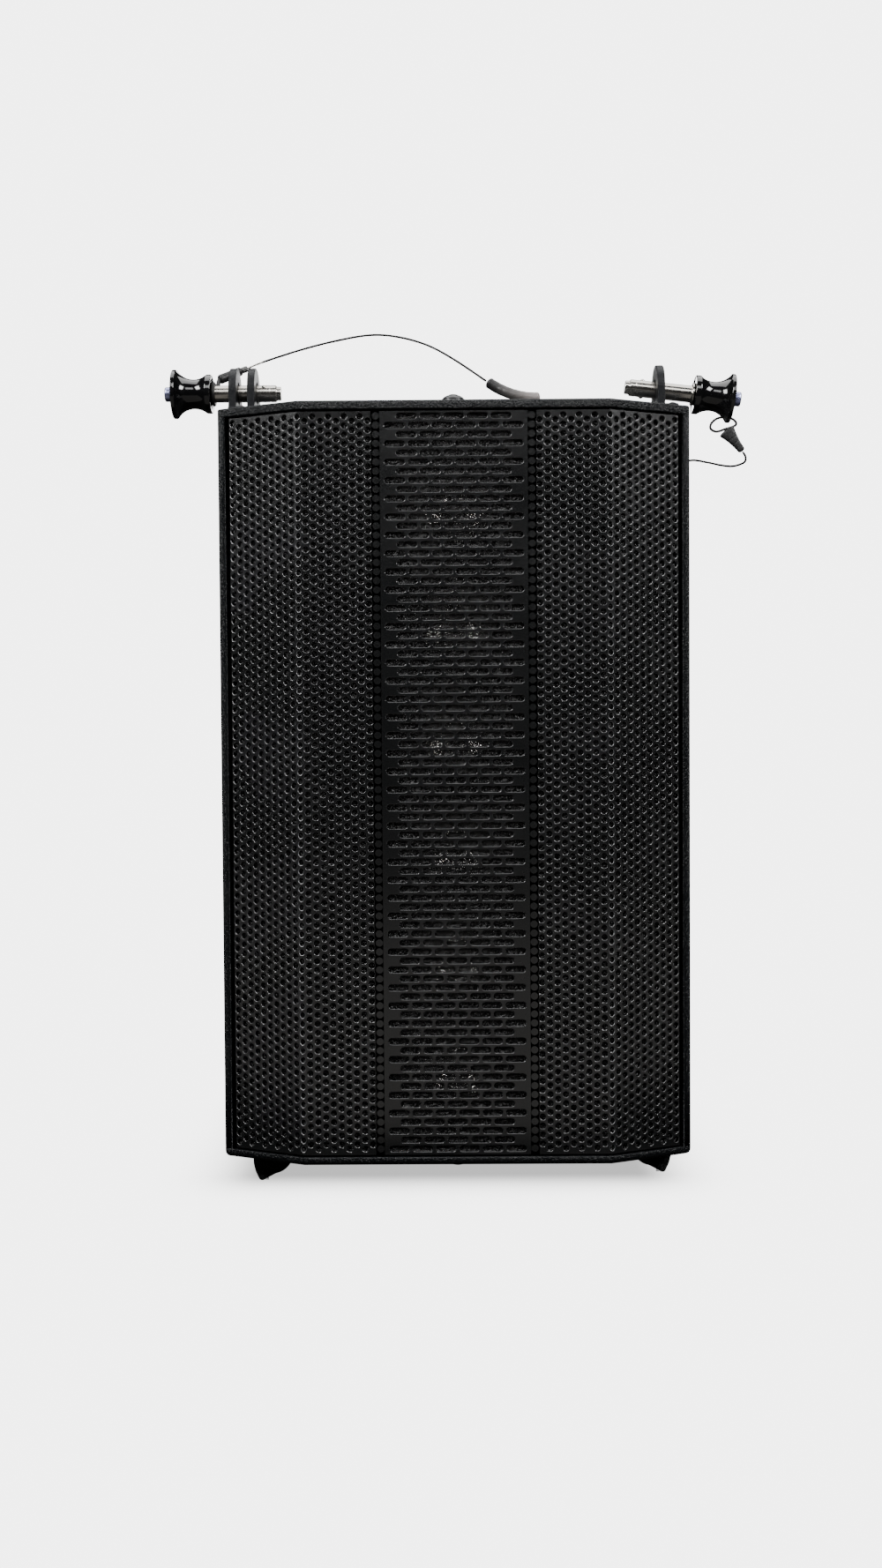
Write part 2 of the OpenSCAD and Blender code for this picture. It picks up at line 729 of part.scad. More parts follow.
// A straight sleeve from p to q, r0 to r1
module stick(p, q, r0, r1) {
    d = q - p;
    translate(p) rotate([0, acos(d[2] / norm(d)), atan2(d[1], d[0])])
        cylinder(r1 = r0, r2 = r1, h = norm(d));
}

// Eye round the left pin's shank, with its short sleeve and crimp
module lanyard_left_eye() {
    x = -pin_end + pin_len - collar_at + 0.4;
    color("#1d1e21") difference() {
        union() {
            translate([x, pin_y, pin_z]) along_x() cylinder(r = 9, h = 2);
            stick([x + 1.2, pin_y + 6, pin_z + 6], [x + 1.4, -45, 603.6], 3, 3);
            stick([x + 0.9, -46, 603.2], [-161, -37, 612.2], 3.6, 3.3);
            stick([-161, -37, 612.2], [-157.4, -36.1, 613.8], 2.6, 2.6);
        }
        translate([x, pin_y, pin_z]) along_x() cylinder(r = shank_r + 0.35, h = 12, center = true);
    }
}
module lanyard_left_wire() {
    color("#1b1b1d") tube(curve(left_route, 5), wire_d / 2, 8, [0, 1, 0]);
}
module lanyard_left_sleeve() {
    color("#26272a") tube(curve(left_sleeve_route, 3), 3.9, 12, [0, 1, 0]);
}

module lanyard_right_loop() {
    color("#141416") wire_loop(closed_curve(loop_route, 4), 0.9, 8);
}
// Moulded grip over the loop's crimp, wide at the loop and narrow at the wire
module lanyard_right_grip() {
    color("#1d1e21") translate([0, pin_y + 2.6, 0]) rotate([90, 0, 0]) linear_extrude(5.2)
        polygon([[197.4, 557.8], [211, 562.2], [213.8, 556.4], [218.4, 546.6], [214.6, 543.2],
            [206.2, 549.4], [199.6, 555.2]]);
}
module lanyard_right_wire() {
    color("#1b1b1d") tube(curve(right_route, 5), wire_d / 2, 8, [0, 1, 0]);
}
module lanyard_right_sleeve() {
    color("#26272a") tube(curve(right_sleeve_route, 3), 2.4, 12, [1, 0, 0]);
}

// Screws that hold the lanyards' far ends, on the top and on the right side
module lanyard_anchors() {
    color("#3a3b3e") {
        translate([left_anchor[0], left_anchor[1], top_z]) {
            screw(4.5, 3.4, 2, 9);
            translate([-9, -2, 0]) cube([9, 4, 1.5]);
            translate([-9, -2, 0]) cube([2, 4, 4]);
        }
        at_side_anchor() screw(5, 3.4, 2, 10);
    }
}

cabinet_top();
cabinet_bottom();
cabinet_side_left();
cabinet_side_right();
cabinet_rear();
centre_baffle();
woofer_baffle_left();
woofer_baffle_right();
brace_shelves();
grille();
grille_foam();
damping_foam();
crossover_board();
crossover_components();
connector_plate();
connector_sockets();
rear_handle();
rear_screws();
mounting_inserts();
flying_screws();
rig_bracket_left();
rig_bracket_right();
bracket_and_foot_screws();
foot_front_left();
foot_front_right();
feet_rear();
mid_baskets();
mid_magnets();
mid_surrounds();
mid_cones();
mid_dust_caps();
mid_coils();
woofer_baskets();
woofer_magnets();
woofer_surrounds();
driver_screws();
woofer_cones_left();
woofer_caps_left();
woofer_coils_left();
woofer_cones_right();
woofer_caps_right();
woofer_coils_right();
pin_left_shank();
pin_left_handle();
pin_left_button();
pin_left_ball_front();
pin_left_ball_rear();
pin_right_shank();
pin_right_handle();
pin_right_button();
pin_right_ball_top();
pin_right_ball_bottom();
lanyard_left_eye();
lanyard_left_wire();
lanyard_left_sleeve();
lanyard_right_loop();
lanyard_right_grip();
lanyard_right_wire();
lanyard_right_sleeve();
lanyard_anchors();
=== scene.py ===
import bpy
import numpy as np
from mathutils import Matrix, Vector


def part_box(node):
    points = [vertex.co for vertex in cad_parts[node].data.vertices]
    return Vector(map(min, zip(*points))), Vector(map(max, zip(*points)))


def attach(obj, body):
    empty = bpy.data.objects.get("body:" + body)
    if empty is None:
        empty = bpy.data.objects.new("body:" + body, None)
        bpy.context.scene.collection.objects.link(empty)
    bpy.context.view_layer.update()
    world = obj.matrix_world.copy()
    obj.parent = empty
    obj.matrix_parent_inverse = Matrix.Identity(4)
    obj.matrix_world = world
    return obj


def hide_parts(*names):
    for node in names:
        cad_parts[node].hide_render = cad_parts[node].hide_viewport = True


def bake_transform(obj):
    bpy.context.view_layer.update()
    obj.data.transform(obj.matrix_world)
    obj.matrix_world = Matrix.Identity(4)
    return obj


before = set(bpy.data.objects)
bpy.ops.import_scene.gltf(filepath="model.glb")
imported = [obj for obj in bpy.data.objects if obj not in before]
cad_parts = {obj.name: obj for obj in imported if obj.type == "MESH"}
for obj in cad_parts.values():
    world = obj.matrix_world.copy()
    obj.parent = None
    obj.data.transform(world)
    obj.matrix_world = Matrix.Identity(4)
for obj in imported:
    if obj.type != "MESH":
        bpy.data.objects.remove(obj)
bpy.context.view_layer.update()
mm = 0.001

# ---------------------------------------------------------------- camera
# A camera stands about 1.1 m in front of the cabinet, a little above its middle, and looks
# down at it by less than two degrees.

camera = bpy.data.objects.new("camera", bpy.data.cameras.new("camera"))
bpy.context.collection.objects.link(camera)
camera.data.sensor_fit = "VERTICAL"
camera.data.sensor_height = 36
camera.data.lens = 35.43
camera.matrix_world = (
    Matrix.Translation((-0.004, -1.224, 0.332))
    @ Matrix.Rotation(np.radians(0.34), 4, "Z")
    @ Matrix.Rotation(np.radians(90 - 1.76), 4, "X")
    @ Matrix.Rotation(np.radians(-0.38), 4, "Z")
)
bpy.context.scene.camera = camera

# ---------------------------------------------------------------- lanyard wires
# Each pin is tied to the cabinet by 1.6 mm wire rope in a black jacket. The left one leaves
# a crimp on the pin's eye as bare twisted strands, arches over the top and goes into a
# sleeve. The right one leaves its moulded grip, turns back and runs round the side.

wire_r = 0.8 * mm
left_route = mm * np.array([
    [-157, -36, 614], [-146, -38, 618], [-115, -44, 626], [-88, -50, 631], [-62, -58, 633],
    [-41, -64, 630], [-19, -71, 622], [1, -78, 609.5], [24, -88, 591.5],
])
right_route = mm * np.array([
    [217.1, -58, 543.9], [219.5, -56, 540.5], [219, -52.5, 537], [212, -46, 535.4],
    [204, -40, 537.2], [195, -32, 540.8], [185, -18, 545], [178, 10, 546], [172, 45, 536],
    [166, 75, 510], [162, 92, 478],
])


def smooth_route(points, steps, closed=False):
    """Catmull-Rom curve through the points: between b and c it is half of
    2b + (c-a)t + (2a-5b+4c-d)t^2 + (3b-a-3c+d)t^3, with a and d the points on either side."""
    count = len(points)
    index = np.arange(count if closed else count - 1)[:, None] + np.arange(-1, 3)
    index = index % count if closed else np.clip(index, 0, count - 1)
    a, b, c, d = (points[index[:, k]][:, None] for k in range(4))
    t = np.linspace(0, 1, steps, endpoint=False)[None, :, None]
    curve = (2 * b + (c - a) * t + (2 * a - 5 * b + 4 * c - d) * t**2
             + (3 * b - a - 3 * c + d) * t**3) / 2
    curve = curve.reshape(-1, points.shape[1])
    return curve if closed else np.vstack([curve, points[-1]])


def grid(rows, columns, closed_rows=False, closed_columns=False):
    """Four-cornered faces of a grid of points, joined up in the directions that are closed.
    They face along (step to the next column) x (step to the next row)."""
    r, c = np.meshgrid(
        np.arange(rows - (not closed_rows)), np.arange(columns - (not closed_columns)), indexing="ij"
    )
    r2, c2 = (r + 1) % rows, (c + 1) % columns
    corners = [r * columns + c, r * columns + c2, r2 * columns + c2, r2 * columns + c]
    return np.stack(corners, -1).reshape(-1, 4)


def capped_grid(points):
    """Closed solid from rows of points, each row a ring, with a flat cap on both ends."""
    rows, columns = points.shape[:2]
    first = np.arange(columns)[None, ::-1]
    last = (rows - 1) * columns + np.arange(columns)[None]
    sides = grid(rows, columns, closed_columns=True)
    return points.reshape(-1, 3), [(sides, True), (first, False), (last, False)]


def unit(v):
    """Vectors divided by their lengths."""
    return v / np.linalg.norm(v, axis=-1, keepdims=True)


def around(count):
    """Angles of equal steps round a circle."""
    return np.linspace(0, 2 * np.pi, count, endpoint=False)


def tube(path, radius, sides=16, closed=False):
    """Ring of points round each point of a path: p + r (n cos a + (t x n) sin a). The normal
    n is carried from point to point, less its part along the tangent t. The radius is a
    number, one for each point, or one for each point and side."""
    ahead = np.roll(path, -1, 0) - np.roll(path, 1, 0)
    if not closed:
        ahead[0], ahead[-1] = path[1] - path[0], path[-1] - path[-2]
    along = unit(ahead)
    normal = np.cross(along, [0.31, 0.17, 0.93])
    for i in range(1, len(path)):
        normal[i] = normal[i - 1] - along[i] * (normal[i - 1] @ along[i])
    normal = unit(normal)[:, None]
    turn = around(sides)[None, :, None]
    radius = np.asarray(radius, float)
    radius = radius[..., None, None] if radius.ndim < 2 else radius[..., None]
    ring = normal * np.cos(turn) + np.cross(along[:, None], normal) * np.sin(turn)
    points = path[:, None] + radius * ring
    if closed:
        return points.reshape(-1, 3), [(grid(len(path), sides, True, True), True)]
    return capped_grid(points)


def joined(*solids):
    """One solid from several, with the later ones' point numbers moved along."""
    starts = np.cumsum([0] + [len(points) for points, _ in solids])
    faces = [(f + s, smooth) for (_, fs), s in zip(solids, starts) for f, smooth in fs]
    return np.concatenate([points for points, _ in solids]), faces


def keep(mesh, name, values):
    """Keeps a number for each point of a mesh under a name."""
    kept = mesh.attributes.new(name, "FLOAT", "POINT")
    kept.data.foreach_set("value", values.astype(np.float32))


def read(items, name, width, kind=np.float32):
    """Array of one property of a mesh's items, with a row for each."""
    values = np.empty(len(items) * width, kind)
    items.foreach_get(name, values)
    return values.reshape(-1, width)


def raised_edges(mesh):
    """Number for each point: the mean, over its edges, of how far its normal points away
    from the neighbour, 0 on a flat and higher on a raised edge. It is kept as 'edge'."""
    normals, places = read(mesh.vertex_normals, "vector", 3), read(mesh.vertices, "co", 3)
    a, b = read(mesh.edges, "vertices", 2, np.int32).T
    away = places[a] - places[b]
    away /= np.maximum(np.linalg.norm(away, axis=1, keepdims=True), 1e-9)
    count = len(places)
    total = np.bincount(a, (normals[a] * away).sum(1), count)
    total -= np.bincount(b, (normals[b] * away).sum(1), count)
    edge = total / np.maximum(np.bincount(a, minlength=count) + np.bincount(b, minlength=count), 1)
    keep(mesh, "edge", np.clip(edge * 2.5, 0, 1))


def add_piece(name, solid, material, body, replaces=(), ride=True):
    """Mesh object from a solid, which is its points and its arrays of faces with whether
    each is shaded smooth. It rides on the body and stands for the CAD nodes."""
    points, faces = solid
    mesh = bpy.data.meshes.new(name)
    mesh.vertices.add(len(points))
    mesh.vertices.foreach_set("co", np.asarray(points, np.float32).ravel())
    corners = np.concatenate([f.ravel() for f, _ in faces]).astype(np.int32)
    sizes = np.concatenate([np.full(len(f), f.shape[1]) for f, _ in faces])
    mesh.loops.add(len(corners))
    mesh.loops.foreach_set("vertex_index", corners)
    mesh.polygons.add(len(sizes))
    mesh.polygons.foreach_set("loop_start", np.concatenate([[0], np.cumsum(sizes)[:-1]]))
    mesh.update(calc_edges=True)
    mesh.polygons.foreach_set("use_smooth", np.concatenate([np.full(len(f), s) for f, s in faces]))
    raised_edges(mesh)
    piece = bpy.data.objects.new(name, mesh)
    bpy.context.collection.objects.link(piece)
    mesh.materials.append(material)
    if replaces:
        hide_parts(*replaces)
    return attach(piece, body) if ride else piece


def fill(made, values):
    """Gives a node's named inputs their values or links."""
    for key, value in values.items():
        if isinstance(value, bpy.types.NodeSocket):
            made.id_data.links.new(value, made.inputs[key])
        else:
            made.inputs[key].default_value = value


def node(tree, kind, values, **settings):
    """Outputs of a new node of that kind, with its inputs and its settings."""
    made = tree.nodes.new("ShaderNode" + kind)
    for key, value in settings.items():
        setattr(made, key, value)
    fill(made, values)
    return made.outputs


def maths(tree, operation, *values, kind="Math", **settings):
    """Outputs of a sum on numbers, or on vectors if the kind is VectorMath."""
    return node(tree, kind, dict(enumerate(values)), operation=operation, **settings)


def noise(tree, scale, **values):
    """Noise at a scale in the object's own coordinates."""
    place = node(tree, "TexCoord", {})["Object"]
    return node(tree, "TexNoise", {"Vector": place, "Scale": scale, **values})["Fac"]


def effect(name, inputs, outputs):
    """New node group whose inputs are named numbers, with outputs of these kinds."""
    group = bpy.data.node_groups.new(name, "ShaderNodeTree")
    for label, value in inputs.items():
        socket = group.interface.new_socket(label, in_out="INPUT", socket_type="NodeSocketFloat")
        socket.default_value = value
    for label, kind in outputs.items():
        group.interface.new_socket(label, in_out="OUTPUT", socket_type="NodeSocket" + kind)
    return group, group.nodes.new("NodeGroupInput").outputs, group.nodes.new("NodeGroupOutput")


# Fine grain: noise at a scale raises the surface, and its peaks are given as a mask.
grain_outputs = {"Normal": "Vector", "Peaks": "Float"}
grain, given, out = effect("fine grain", {"Scale": 900, "Height": 0.3}, grain_outputs)
bumps = noise(grain, given["Scale"], Detail=2.0, Roughness=0.6)
raised = node(grain, "Bump", {"Height": bumps, "Strength": given["Height"], "Distance": 0.0012})
peaks = node(grain, "MapRange", {"Value": bumps, "From Min": 0.52, "From Max": 0.72})
fill(out, {"Normal": raised["Normal"], "Peaks": peaks["Result"]})

# Wear: a mask that is high on raised edges, broken up by coarse noise.
wear, given, out = effect("edge wear", {"Amount": 0.5}, {"Worn": "Float"})
edge = node(wear, "Attribute", {}, attribute_name="edge")["Fac"]
broken = maths(wear, "MULTIPLY", edge, noise(wear, 120, Detail=4.0))[0]
fill(out, {"Worn": maths(wear, "MULTIPLY", broken, given["Amount"], use_clamp=True)[0]})

# Dust: a soft cloudy mask, from coarse noise with fine detail in it.
dust, given, out = effect("dust", {"Amount": 0.3}, {"Dust": "Float"})
settled = node(dust, "MapRange", {"Value": noise(dust, 12, Detail=8.0), "From Min": 0.4, "From Max": 0.75})
fill(out, {"Dust": maths(dust, "MULTIPLY", settled["Result"], given["Amount"])[0]})


def new_finish(name):
    """New material, with its node tree and its shader."""
    made = bpy.data.materials.new(name)
    made.use_nodes = True
    return made, made.node_tree, made.node_tree.nodes["Principled BSDF"]


def mixed(tree, share, first, second):
    """Colour between two, each of them a link, three numbers or one grey."""
    ends = {6: first, 7: second}
    for key, end in ends.items():
        if not isinstance(end, bpy.types.NodeSocket):
            ends[key] = (*np.broadcast_to(end, 3), 1)
    return node(tree, "Mix", {"Factor": share, **ends}, data_type="RGBA")[2]


def finish_of(name, colour, light, dusty, roughness, scale=900, height=0.3, worn=0.4,
              dust_share=0.25, **shader_values):
    """Material of one finish: its colour goes to the light one on grain peaks and worn edges
    and to the dusty one where dust lies, which is also rougher."""
    made, tree, shader = new_finish(name)
    grained = node(tree, "Group", {"Scale": scale, "Height": height}, node_tree=grain)
    edges = node(tree, "Group", {"Amount": worn}, node_tree=wear)["Worn"]
    dusted = node(tree, "Group", {"Amount": dust_share}, node_tree=dust)["Dust"]
    bright = maths(tree, "MULTIPLY_ADD", grained["Peaks"], 0.35, edges, use_clamp=True)[0]
    rough = node(tree, "MapRange", {"Value": dusted, "From Max": 0.3, "To Min": roughness,
                                    "To Max": min(1, roughness + 0.15)})
    fill(shader, {
        "Base Color": mixed(tree, dusted, mixed(tree, bright, colour, light), dusty),
        "Roughness": rough["Result"],
        "Normal": grained["Normal"],
        **{label.replace("_", " "): value for label, value in shader_values.items()},
    })
    return made


# The wire's material turns from bare twisted steel to black jacket by the 'jacket' attribute.
wire_finish, tree, shader = new_finish("wire rope")
jacket = node(tree, "Attribute", {}, attribute_name="jacket")["Fac"]
fill(shader, {
    "Base Color": mixed(tree, jacket, (0.55, 0.53, 0.5), 0.005),
    "Metallic": node(tree, "MapRange", {"Value": jacket, "To Min": 1.0, "To Max": 0.0})["Result"],
    "Normal": node(tree, "Group", {"Scale": 1500}, node_tree=grain)["Normal"],
    "Roughness": 0.45,
    "Specular IOR Level": 0.3,
})


def length_of(path):
    """Length along a path at each of its points."""
    return np.concatenate([[0], np.cumsum(np.linalg.norm(np.diff(path, axis=0), axis=1))])


def wire_rope(side, route, bare):
    """Tube along the route. Over the bare length its radius has six strands, as
    0.64 mm (1 + 0.13 |cos 3(a - s/lay)|), and after that it is the plain jacket's."""
    path = smooth_route(route, 30)
    along = length_of(path)[:, None]
    strands = 0.64 * mm * (1 + 0.13 * np.abs(np.cos(3 * (around(24) - along / (1.1 * mm)))))
    clad = np.clip((along - bare) / (0.6 * mm), 0, 1)
    solid = tube(path, strands * (1 - clad) + wire_r * clad, 24)
    pin = f"pin_{side}"
    name = f"{side}_wire"
    wire = add_piece(name, solid, wire_finish, pin, [f"lanyard_{name}"], ride=False)
    keep(wire.data, "jacket", np.repeat(clad[:, 0], 24))
    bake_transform(wire)
    return wire, path[::3]


left_wire, left_path = wire_rope("left", left_route, 13 * mm)
right_wire, right_path = wire_rope("right", right_route, 0)

# ---------------------------------------------------------------- wire fittings
# Heat-shrink sleeves cover the crimps, a steel eye with its own sleeve sits round the left
# pin, and the right pin's finger loop passes through a flange and into a moulded grip. The
# far ends are screwed to the cabinet's top and side.

left_sleeve_route = mm * np.array([
    [25, -88.3, 590.8], [33, -90, 585.5], [41, -93, 581.3], [48, -95, 578.8], [55, -96, 577.4],
    [63, -97, 577],
])
right_sleeve_route = mm * np.array([[161.8, 92.5, 477], [160, 97, 465], [158, 99, 453], [156.6, 100, 445]])
loop_route = mm * np.array([
    [202, -58, 569.8], [205.6, -58, 569.4], [209.2, -58, 568.6], [212, -58, 566], [211, -58, 563.4],
    [204, -58, 561.1], [197.4, -58, 559.2], [193, -58, 561.4], [193.6, -58, 565.4], [197.6, -58, 568.8],
])

rubber = finish_of("moulded rubber", (0.013, 0.013, 0.014), (0.05, 0.05, 0.052), (0.07, 0.068, 0.065), 0.42,
                   scale=700, height=0.25, Specular_IOR_Level=0.45)
shrink, tree, shader = new_finish("heat shrink sleeve")


def ramp(tree, factor, first, last, *between):
    """Colour that runs from the first to the last, through any (place, colour) between."""
    made = node(tree, "ValToRGB", {"Fac": factor})["Color"]
    stops = made.node.color_ramp.elements
    stops[0].color, stops[1].color = (*first, 1), (*last, 1)
    for place, colour in between:
        stops.new(place).color = (*colour, 1)
    return made


# The sleeves' colour runs from black to a pale warm grey along them by 'fade': a painted sheen of light,
# strongest at the left sleeve's far end.
fill(shader, {
    "Base Color": ramp(tree, node(tree, "Attribute", {}, attribute_name="fade")["Fac"],
                       (0.012, 0.012, 0.013), (0.36, 0.32, 0.31),
                       (0.22, (0.035, 0.034, 0.034)), (0.6, (0.13, 0.12, 0.115))),
    "Normal": node(tree, "Group", {"Scale": 500, "Height": 0.35}, node_tree=grain)["Normal"],
    "Roughness": 0.4,
})


def sleeve(side, route, radius, rim, pale):
    """Tube whose radius grows from nothing to full over each end as a quarter ellipse of
    length rim, with faint creases round it. Its colour grows paler along it, a painted sheen
    of light: 'fade' runs from 0 to pale along it."""
    path = smooth_route(route, 16)
    along = length_of(path)
    near = np.clip(np.minimum(along, along[-1] - along) / rim, 0, 1)
    width = radius * np.sqrt(np.clip(1 - (1 - near) ** 2, 0.02, 1))
    width *= 1 + 0.012 * np.sin(along / (0.9 * mm))
    name = f"{side}_sleeve"
    made = add_piece(name, tube(path, width, 32), shrink, "cabinet", [f"lanyard_{name}"])
    keep(made.data, "fade", np.repeat(pale * along / along[-1], 32))
    return made


left_sleeve = sleeve("left", left_sleeve_route, 3.9 * mm, 2.2 * mm, 1.0)
right_sleeve = sleeve("right", right_sleeve_route, 2.4 * mm, 1.5 * mm, 0.3)
pin_y, pin_z = -58 * mm, 590 * mm


def turned(profile, centre, axis, start, sides=48):
    """Solid of revolution. The profile's points are (radius, distance along the axis), and
    it runs up the outside. An open profile is capped, and one whose last point repeats the
    first is a ring."""
    profile = np.asarray(profile, float)
    axis, start = unit(np.asarray(axis, float)), unit(np.asarray(start, float))
    turn = around(sides)[None, :, None]
    closed = np.allclose(profile[0], profile[-1])
    r, h = (profile[:-1] if closed else profile).T[:, :, None, None]
    ring = start * np.cos(turn) + np.cross(axis, start) * np.sin(turn)
    points = np.asarray(centre) + axis * h + r * ring
    if closed:
        return points.reshape(-1, 3), [(grid(len(profile) - 1, sides, True, True), True)]
    return capped_grid(points)


eye_profile = mm * np.array([[6.6, 0], [8.3, 0], [9, 0.5], [9, 1.5], [8.3, 2], [6.6, 2], [6.55, 1], [6.6, 0]])
eye_place = (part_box("lanyard_left_eye")[0].x, pin_y, pin_z)
neck_path = mm * np.array([
    [-177.4, -52, 596.3], [-177.3, -49, 600], [-177.1, -46.5, 602.8], [-176, -45, 604],
])
eye_sleeve_path = mm * np.linspace([-177.5, -46, 603.2], [-161, -37, 612.2], 40)
near = np.clip(np.minimum(np.arange(40), 39 - np.arange(40)) / 4, 0, 1)
left_eye = joined(
    turned(eye_profile, eye_place, (1, 0, 0), (0, 0, 1)),
    tube(smooth_route(neck_path, 6), 1.6 * mm, 20),
    tube(eye_sleeve_path, np.linspace(3.6, 3.3, 40) * mm * np.sqrt(1 - 0.9 * (1 - near) ** 2), 32),
)
add_piece("left_eye", left_eye, rubber, "pin_left", ["lanyard_left_eye"])
crimp_path = mm * np.linspace([-161.5, -37.2, 612], [-157, -36, 614], 24)
crimp = tube(crimp_path, 2.3 * mm * (1 + 0.06 * np.cos(np.arange(24) * 0.8)), 24)
speckled = finish_of("crimped ferrule", 0.09, (0.7, 0.7, 0.68), (0.2, 0.2, 0.19), 0.35, scale=1300,
                     height=0.8, worn=0.8, Metallic=0.8)
left_crimp = add_piece("left_crimp", crimp, speckled, "pin_left")

finger_loop = tube(smooth_route(loop_route, 12, closed=True), 0.9 * mm, 14, closed=True)
add_piece("finger_loop", finger_loop, rubber, "pin_right", ["lanyard_right_loop"])


def squared(v):
    """Sine or cosine drawn towards a square one: sign(v) |v|^0.6."""
    return np.sign(v) * np.abs(v) ** 0.6


# The grip is wide and flat at the loop and narrows to the wire, with shallow ribs.
grip_ends = mm * np.array([[204.2, pin_y / mm, 560.6], [216.9, pin_y / mm, 544.3]])
s = np.linspace(0, 1, 60)
grip_line = grip_ends[0] + (grip_ends[1] - grip_ends[0]) * s[:, None]
across = unit(np.cross(grip_ends[1] - grip_ends[0], [0, 1, 0]))
tips = np.sqrt(np.clip(1 - (1 - np.clip(np.minimum(s, 1 - s) / 0.09, 0, 1)) ** 2, 0.01, 1))
half_wide = mm * (7.0 - 8.6 * s + 4.2 * s**2) * tips
rib = 0.1 * np.exp(-((np.sin(5 * np.pi * s)) ** 2) * 8) * (s > 0.35)
half_thick = mm * (2.6 - 0.6 * s) * tips * (1 - rib)
turn = around(36)[None, :, None]
ring = (across * squared(np.cos(turn)) * half_wide[:, None, None]
        + np.array([0, -1.0, 0]) * squared(np.sin(turn)) * half_thick[:, None, None])
grip = capped_grid(grip_line[:, None] + ring)
wire_grip = add_piece("wire_grip", grip, rubber, "pin_right", ["lanyard_right_grip"])

# ---------------------------------------------------------------- studio
# The cabinet stands in a white glowing room, with a soft grey shadow painted into the floor's
# glow under it. Two softboxes stand high at the front, one on each side, weak ones hang in front,
# above and behind, and a warm one lies on the floor in front.


room_light = 5.0


def white_card(name, corners, faces, centre, half_size, fade, share):
    """Stage piece of flat faces whose light is the room's times 1 - share exp(-(d / fade)^2),
    with d the distance from a box of that centre and half size. It isn't seen in
    reflections."""
    mesh = bpy.data.meshes.new(name)
    mesh.from_pydata(corners, [], faces)
    glow, tree, shader = new_finish(name)
    vector = node(tree, "TexCoord", {})["Object"]
    steps = ("SUBTRACT", centre), ("ABSOLUTE",), ("SUBTRACT", half_size), ("MAXIMUM", (0, 0, 0))
    for operation, *other in steps:
        vector = maths(tree, operation, vector, *other, kind="VectorMath")[0]
    away = maths(tree, "LENGTH", vector, kind="VectorMath")["Value"]
    scaled = maths(tree, "DIVIDE", away, fade)[0]
    fall = maths(tree, "POWER", 1 / np.e, maths(tree, "MULTIPLY", scaled, scaled)[0])[0]
    fill(shader, {
        "Emission Strength": maths(tree, "MULTIPLY_ADD", fall, -room_light * share, room_light)[0],
        "Emission Color": (1, 1, 1, 1),
        "Base Color": (0, 0, 0, 1),
        "Specular IOR Level": 0,
        "Roughness": 1,
    })
    mesh.materials.append(glow)
    card = bpy.data.objects.new(name, mesh)
    bpy.context.collection.objects.link(card)
    card.visible_diffuse = card.visible_glossy = card.visible_shadow = False


room = [(x, y, z) for z in (0, 12) for x, y in ((-9, -9), (9, -9), (9, 9), (-9, 9))]
# The floor's glow is dimmed round the cabinet's footprint: a painted shadow.
white_card("floor", room[:4], [(0, 1, 2, 3)], (-0.005, 0.04, 0), (0.14, 0.1, 1), 0.04, 0.85)
white_card("walls", room, [(0, 4, 5, 1), (1, 5, 6, 2), (2, 6, 7, 3), (3, 7, 4, 0), (4, 7, 6, 5)],
           (0, 0, 0), (0, 0, 0), 1, 0)


def softbox(name, place, target, size, power, colour=(1, 1, 1)):
    """Rectangular light at a place, turned to the target."""
    data = bpy.data.lights.new(name, "AREA")
    data.shape, data.size, data.size_y, data.energy = "RECTANGLE", *size, power
    data.color = colour
    lamp = bpy.data.objects.new(name, data)
    bpy.context.collection.objects.link(lamp)
    lamp.visible_camera = False
    back = unit(np.array(place, float) - np.array(target, float))
    side = unit(np.cross([0, 0.01, 1], back))
    up = np.cross(back, side)
    turned_to = np.eye(4)
    turned_to[:3, :3] = np.stack([side, up, back], 1)
    turned_to[:3, 3] = place
    lamp.matrix_world = Matrix(turned_to.tolist())


softbox("left softbox", (-1.37, -1.15, 1.67), (0, -0.1, 0.32), (0.75, 0.75), 36)
softbox("right softbox", (1.37, -1.15, 1.67), (0, -0.1, 0.32), (0.75, 0.75), 36)
softbox("front softbox", (0, -1.7, 1.7), (0, -0.1, 0.4), (1.4, 0.5), 9)
softbox("top softbox", (0, 0.5, 3.0), (0, 0.5, 0), (3.0, 2.4), 60)
softbox("rear softbox", (0.6, 2.4, 1.5), (0, 0.1, 0.3), (1.5, 1.0), 22)
softbox("low warm card", (0, -0.95, 0.01), (0, -0.95, 1), (3.2, 1.4), 2.2, (1, 0.96, 0.91))
world = bpy.data.worlds.new("studio")
bpy.context.scene.world = world
world.use_nodes = True
fill(world.node_tree.nodes["Background"], {"Color": (1, 1, 1, 1), "Strength": 0.012})

# ---------------------------------------------------------------- cabinet
# The cabinet is 12 and 15 mm birch plywood, glued, rounded over and sprayed with thick
# textured black paint that hides the joints. Its front is folded back at both sides, and a
# narrow lip stands round the recess that holds the grille.

top_low, top_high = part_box("cabinet_top")
base_z, top_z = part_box("cabinet_bottom")[0].z, top_high.z
front_y, rear_y = top_low.y, top_high.y
fold_x, corner_x, rear_x = 112 * mm, top_high.x, 150 * mm
corner_y = front_y + 27.5 * mm
lip = 6.3 * mm
wall = 12 * mm
rebate = 12 * mm
upright_round = 2.4 * mm
lid_round = 1.3 * mm
foot_round = 4.4 * mm

paint = finish_of("textured cabinet paint", (0.007, 0.008, 0.009), (0.03, 0.031, 0.033), 0.02, 0.22,
                  scale=800, height=1.0, dust_share=0.2, Specular_IOR_Level=0.35)

plan_corners = np.array([
    [-fold_x, front_y], [fold_x, front_y], [corner_x, corner_y],
    [rear_x, rear_y], [-rear_x, rear_y], [-corner_x, corner_y],
])


